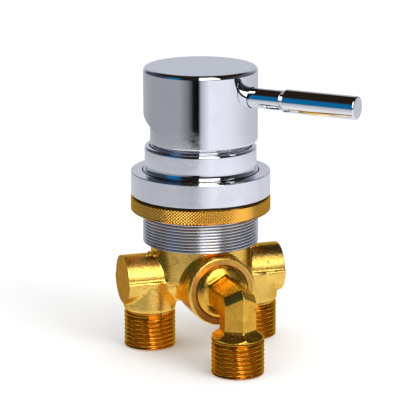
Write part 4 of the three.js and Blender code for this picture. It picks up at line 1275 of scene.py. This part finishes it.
# The studio's colours by bearing, as (share of a turn, colour). The camera is at 0.5.
FAR_FLOOR = [
    (0.0, grey(0.50)), (0.20, grey(0.38)), (0.38, grey(0.38)), (0.43, grey(0.21)), (0.460, grey(0.010)),
    (0.490, grey(0.003)), (0.504, grey(0.50)), (0.55, grey(0.97)), (0.66, grey(0.92)), (0.80, grey(0.66)),
    (1.0, grey(0.52)),
]
NEAR_FLOOR = [
    (0.0, grey(0.68)), (0.25, grey(0.58)), (0.42, grey(0.64)), (0.47, grey(0.70)), (0.50, grey(0.82)),
    (0.56, grey(0.98)), (0.66, grey(0.98)), (0.80, grey(0.82)), (1.0, grey(0.68)),
]
LOW_SKY = [
    (0.0, PALE), (0.06, PALE), (0.12, (0.06, 0.08, 0.12)), (0.28, (0.04, 0.05, 0.07)), (0.32, BLUE),
    (0.365, BLUE), (0.40, grey(0.012)), (0.62, grey(0.012)), (0.72, (0.05, 0.055, 0.065)),
    (0.86, (0.16, 0.19, 0.23)), (0.94, PALE), (1.0, PALE),
]


def studio_world(studio):
    """Even light for the floor, and a studio for polished metal to reflect."""
    world = bpy.data.worlds.new("studio")
    world.use_nodes = True
    bpy.context.scene.world = world
    tree = Tree(world.node_tree)
    x, y, z = tree.split(tree.node("ShaderNodeTexCoord", None, None, "Generated"))
    turn = studio.azimuth
    right = x * math.cos(turn) + y * math.sin(turn)
    towards = x * math.sin(turn) - y * math.cos(turn)
    bearing = right.maths("ARCTAN2", towards) / TURN + 0.5
    height = z.maths("ARCSINE") * (360 / TURN)  # degrees above level

    far_floor = tree.ramp(bearing, FAR_FLOOR)
    near_floor = tree.ramp(bearing, NEAR_FLOOR)
    floor_light = tree.mixed(height.ramped(-13.5, -12.4), near_floor, far_floor)
    floor_light = tree.mixed(height.ramped(-50, -18), rgba(UNDERFOOT), floor_light)
    low_sky = tree.ramp(bearing, LOW_SKY)
    sky = tree.mixed(height.ramped(26, 44), low_sky, rgba(OVERHEAD))
    box_sides = bearing.ramped(0.489, 0.497) * bearing.ramped(0.602, 0.618, 1.0, 0.0)
    box_ends = height.ramped(6, 14) * height.ramped(60, 70, 1.0, 0.0)
    sky = tree.mixed(box_sides * box_ends, sky, rgba(SOFTBOX))
    studio_light = tree.mixed(height.ramped(-8, -5), floor_light, sky)

    rays = tree.node("ShaderNodeLightPath")
    even = tree.mixed(rays.output("Is Glossy Ray"), rgba((studio.ambient,) * 3), studio_light)
    shown = tree.mixed(rays.output("Is Camera Ray"), even, rgba(WHITE))
    background = tree.nodes["Background"]
    tree.links.new(shown.socket, background.inputs["Color"])


class VALVE_OT_stage(bpy.types.Operator):
    """Set up the pale floor, the soft light and the camera"""
    bl_idname = "mixer_valve.stage"
    bl_label = "Stage"

    def execute(self, context):
        studio = context.scene.valve_studio
        turn = studio.azimuth
        right = Vector((math.cos(turn), math.sin(turn), 0))
        ahead = Vector((-math.sin(turn), math.cos(turn), 0))
        aim = right * studio.aim_side + Vector((0, 0, studio.aim_height))
        back = ahead * math.cos(studio.elevation) - Vector((0, 0, math.sin(studio.elevation)))
        lens = bpy.data.cameras.new("camera")
        lens.lens = studio.lens
        lens.sensor_width = 36  # millimetres, as the focal length is
        camera = bpy.data.objects.new("camera", lens)
        context.scene.collection.objects.link(camera)
        camera.location = aim - back * studio.distance
        camera.rotation_euler = back.to_track_quat("-Z", "Y").to_euler()
        context.scene.camera = camera

        half = 3.0
        corners = [(x * half, y * half, FLOOR_Z) for x, y in ((-1, -1), (1, -1), (1, 1), (-1, 1))]
        floor = solid("floor", corners, [(0, 1, 2, 3)])
        paper = Finish("paper")
        fibres = paper.noise(paper.place(), 900, 4)
        tone = paper.mixed(fibres, rgba(shade(studio.paper, 0.99)), rgba(studio.paper))
        painted(floor, paper.done(tone, 0.9, metal=0.0))
        floor.visible_glossy = False

        lamp = bpy.data.lights.new("key", "AREA")
        lamp.shape = "DISK"
        lamp.size = 0.5
        lamp.energy = studio.key
        key = bpy.data.objects.new("key", lamp)
        context.scene.collection.objects.link(key)
        key.location = aim + right * 0.55 - ahead * 0.46 + Vector((0, 0, 0.5))
        key.rotation_euler = (aim - key.location).to_track_quat("-Z", "Y").to_euler()
        key.visible_camera = False
        key.visible_glossy = False
        studio_world(studio)
        context.scene.view_settings.view_transform = "Standard"
        return {"FINISHED"}


BUILD_STEPS = (
    VALVE_OT_finishes, VALVE_OT_casting, VALVE_OT_elbow, VALVE_OT_sleeve, VALVE_OT_lock_nut,
    VALVE_OT_deck_pieces, VALVE_OT_top_nut, VALVE_OT_handle, VALVE_OT_lever, VALVE_OT_cartridge,
    VALVE_OT_stage,
)


class VALVE_PT_sidebar(bpy.types.Panel):
    """Lists the valve's settings and the steps that build it."""
    bl_idname = "VALVE_PT_sidebar"
    bl_label = "Mixing Valve"
    bl_space_type = "VIEW_3D"
    bl_region_type = "UI"
    bl_category = "Valve"

    def draw(self, context):
        for group in (context.scene.valve_sizes, context.scene.valve_colours, context.scene.valve_studio):
            column = self.layout.column()
            for name in group.__annotations__:
                column.prop(group, name)
        for step in BUILD_STEPS:
            self.layout.operator(step.bl_idname)


SETTINGS = {"valve_sizes": ValveSizes, "valve_colours": ValveColours, "valve_studio": ValveStudio}
CLASSES = (*SETTINGS.values(), *BUILD_STEPS, VALVE_PT_sidebar)


def register():
    for item in CLASSES:
        bpy.utils.register_class(item)
    for name, group in SETTINGS.items():
        setattr(bpy.types.Scene, name, PointerProperty(type=group))


def unregister():
    for name in SETTINGS:
        delattr(bpy.types.Scene, name)
    for item in reversed(CLASSES):
        bpy.utils.unregister_class(item)


def main():
    register()
    for step in BUILD_STEPS:
        group, name = step.bl_idname.split(".")
        getattr(getattr(bpy.ops, group), name)()


if __name__ == "__main__":
    main()
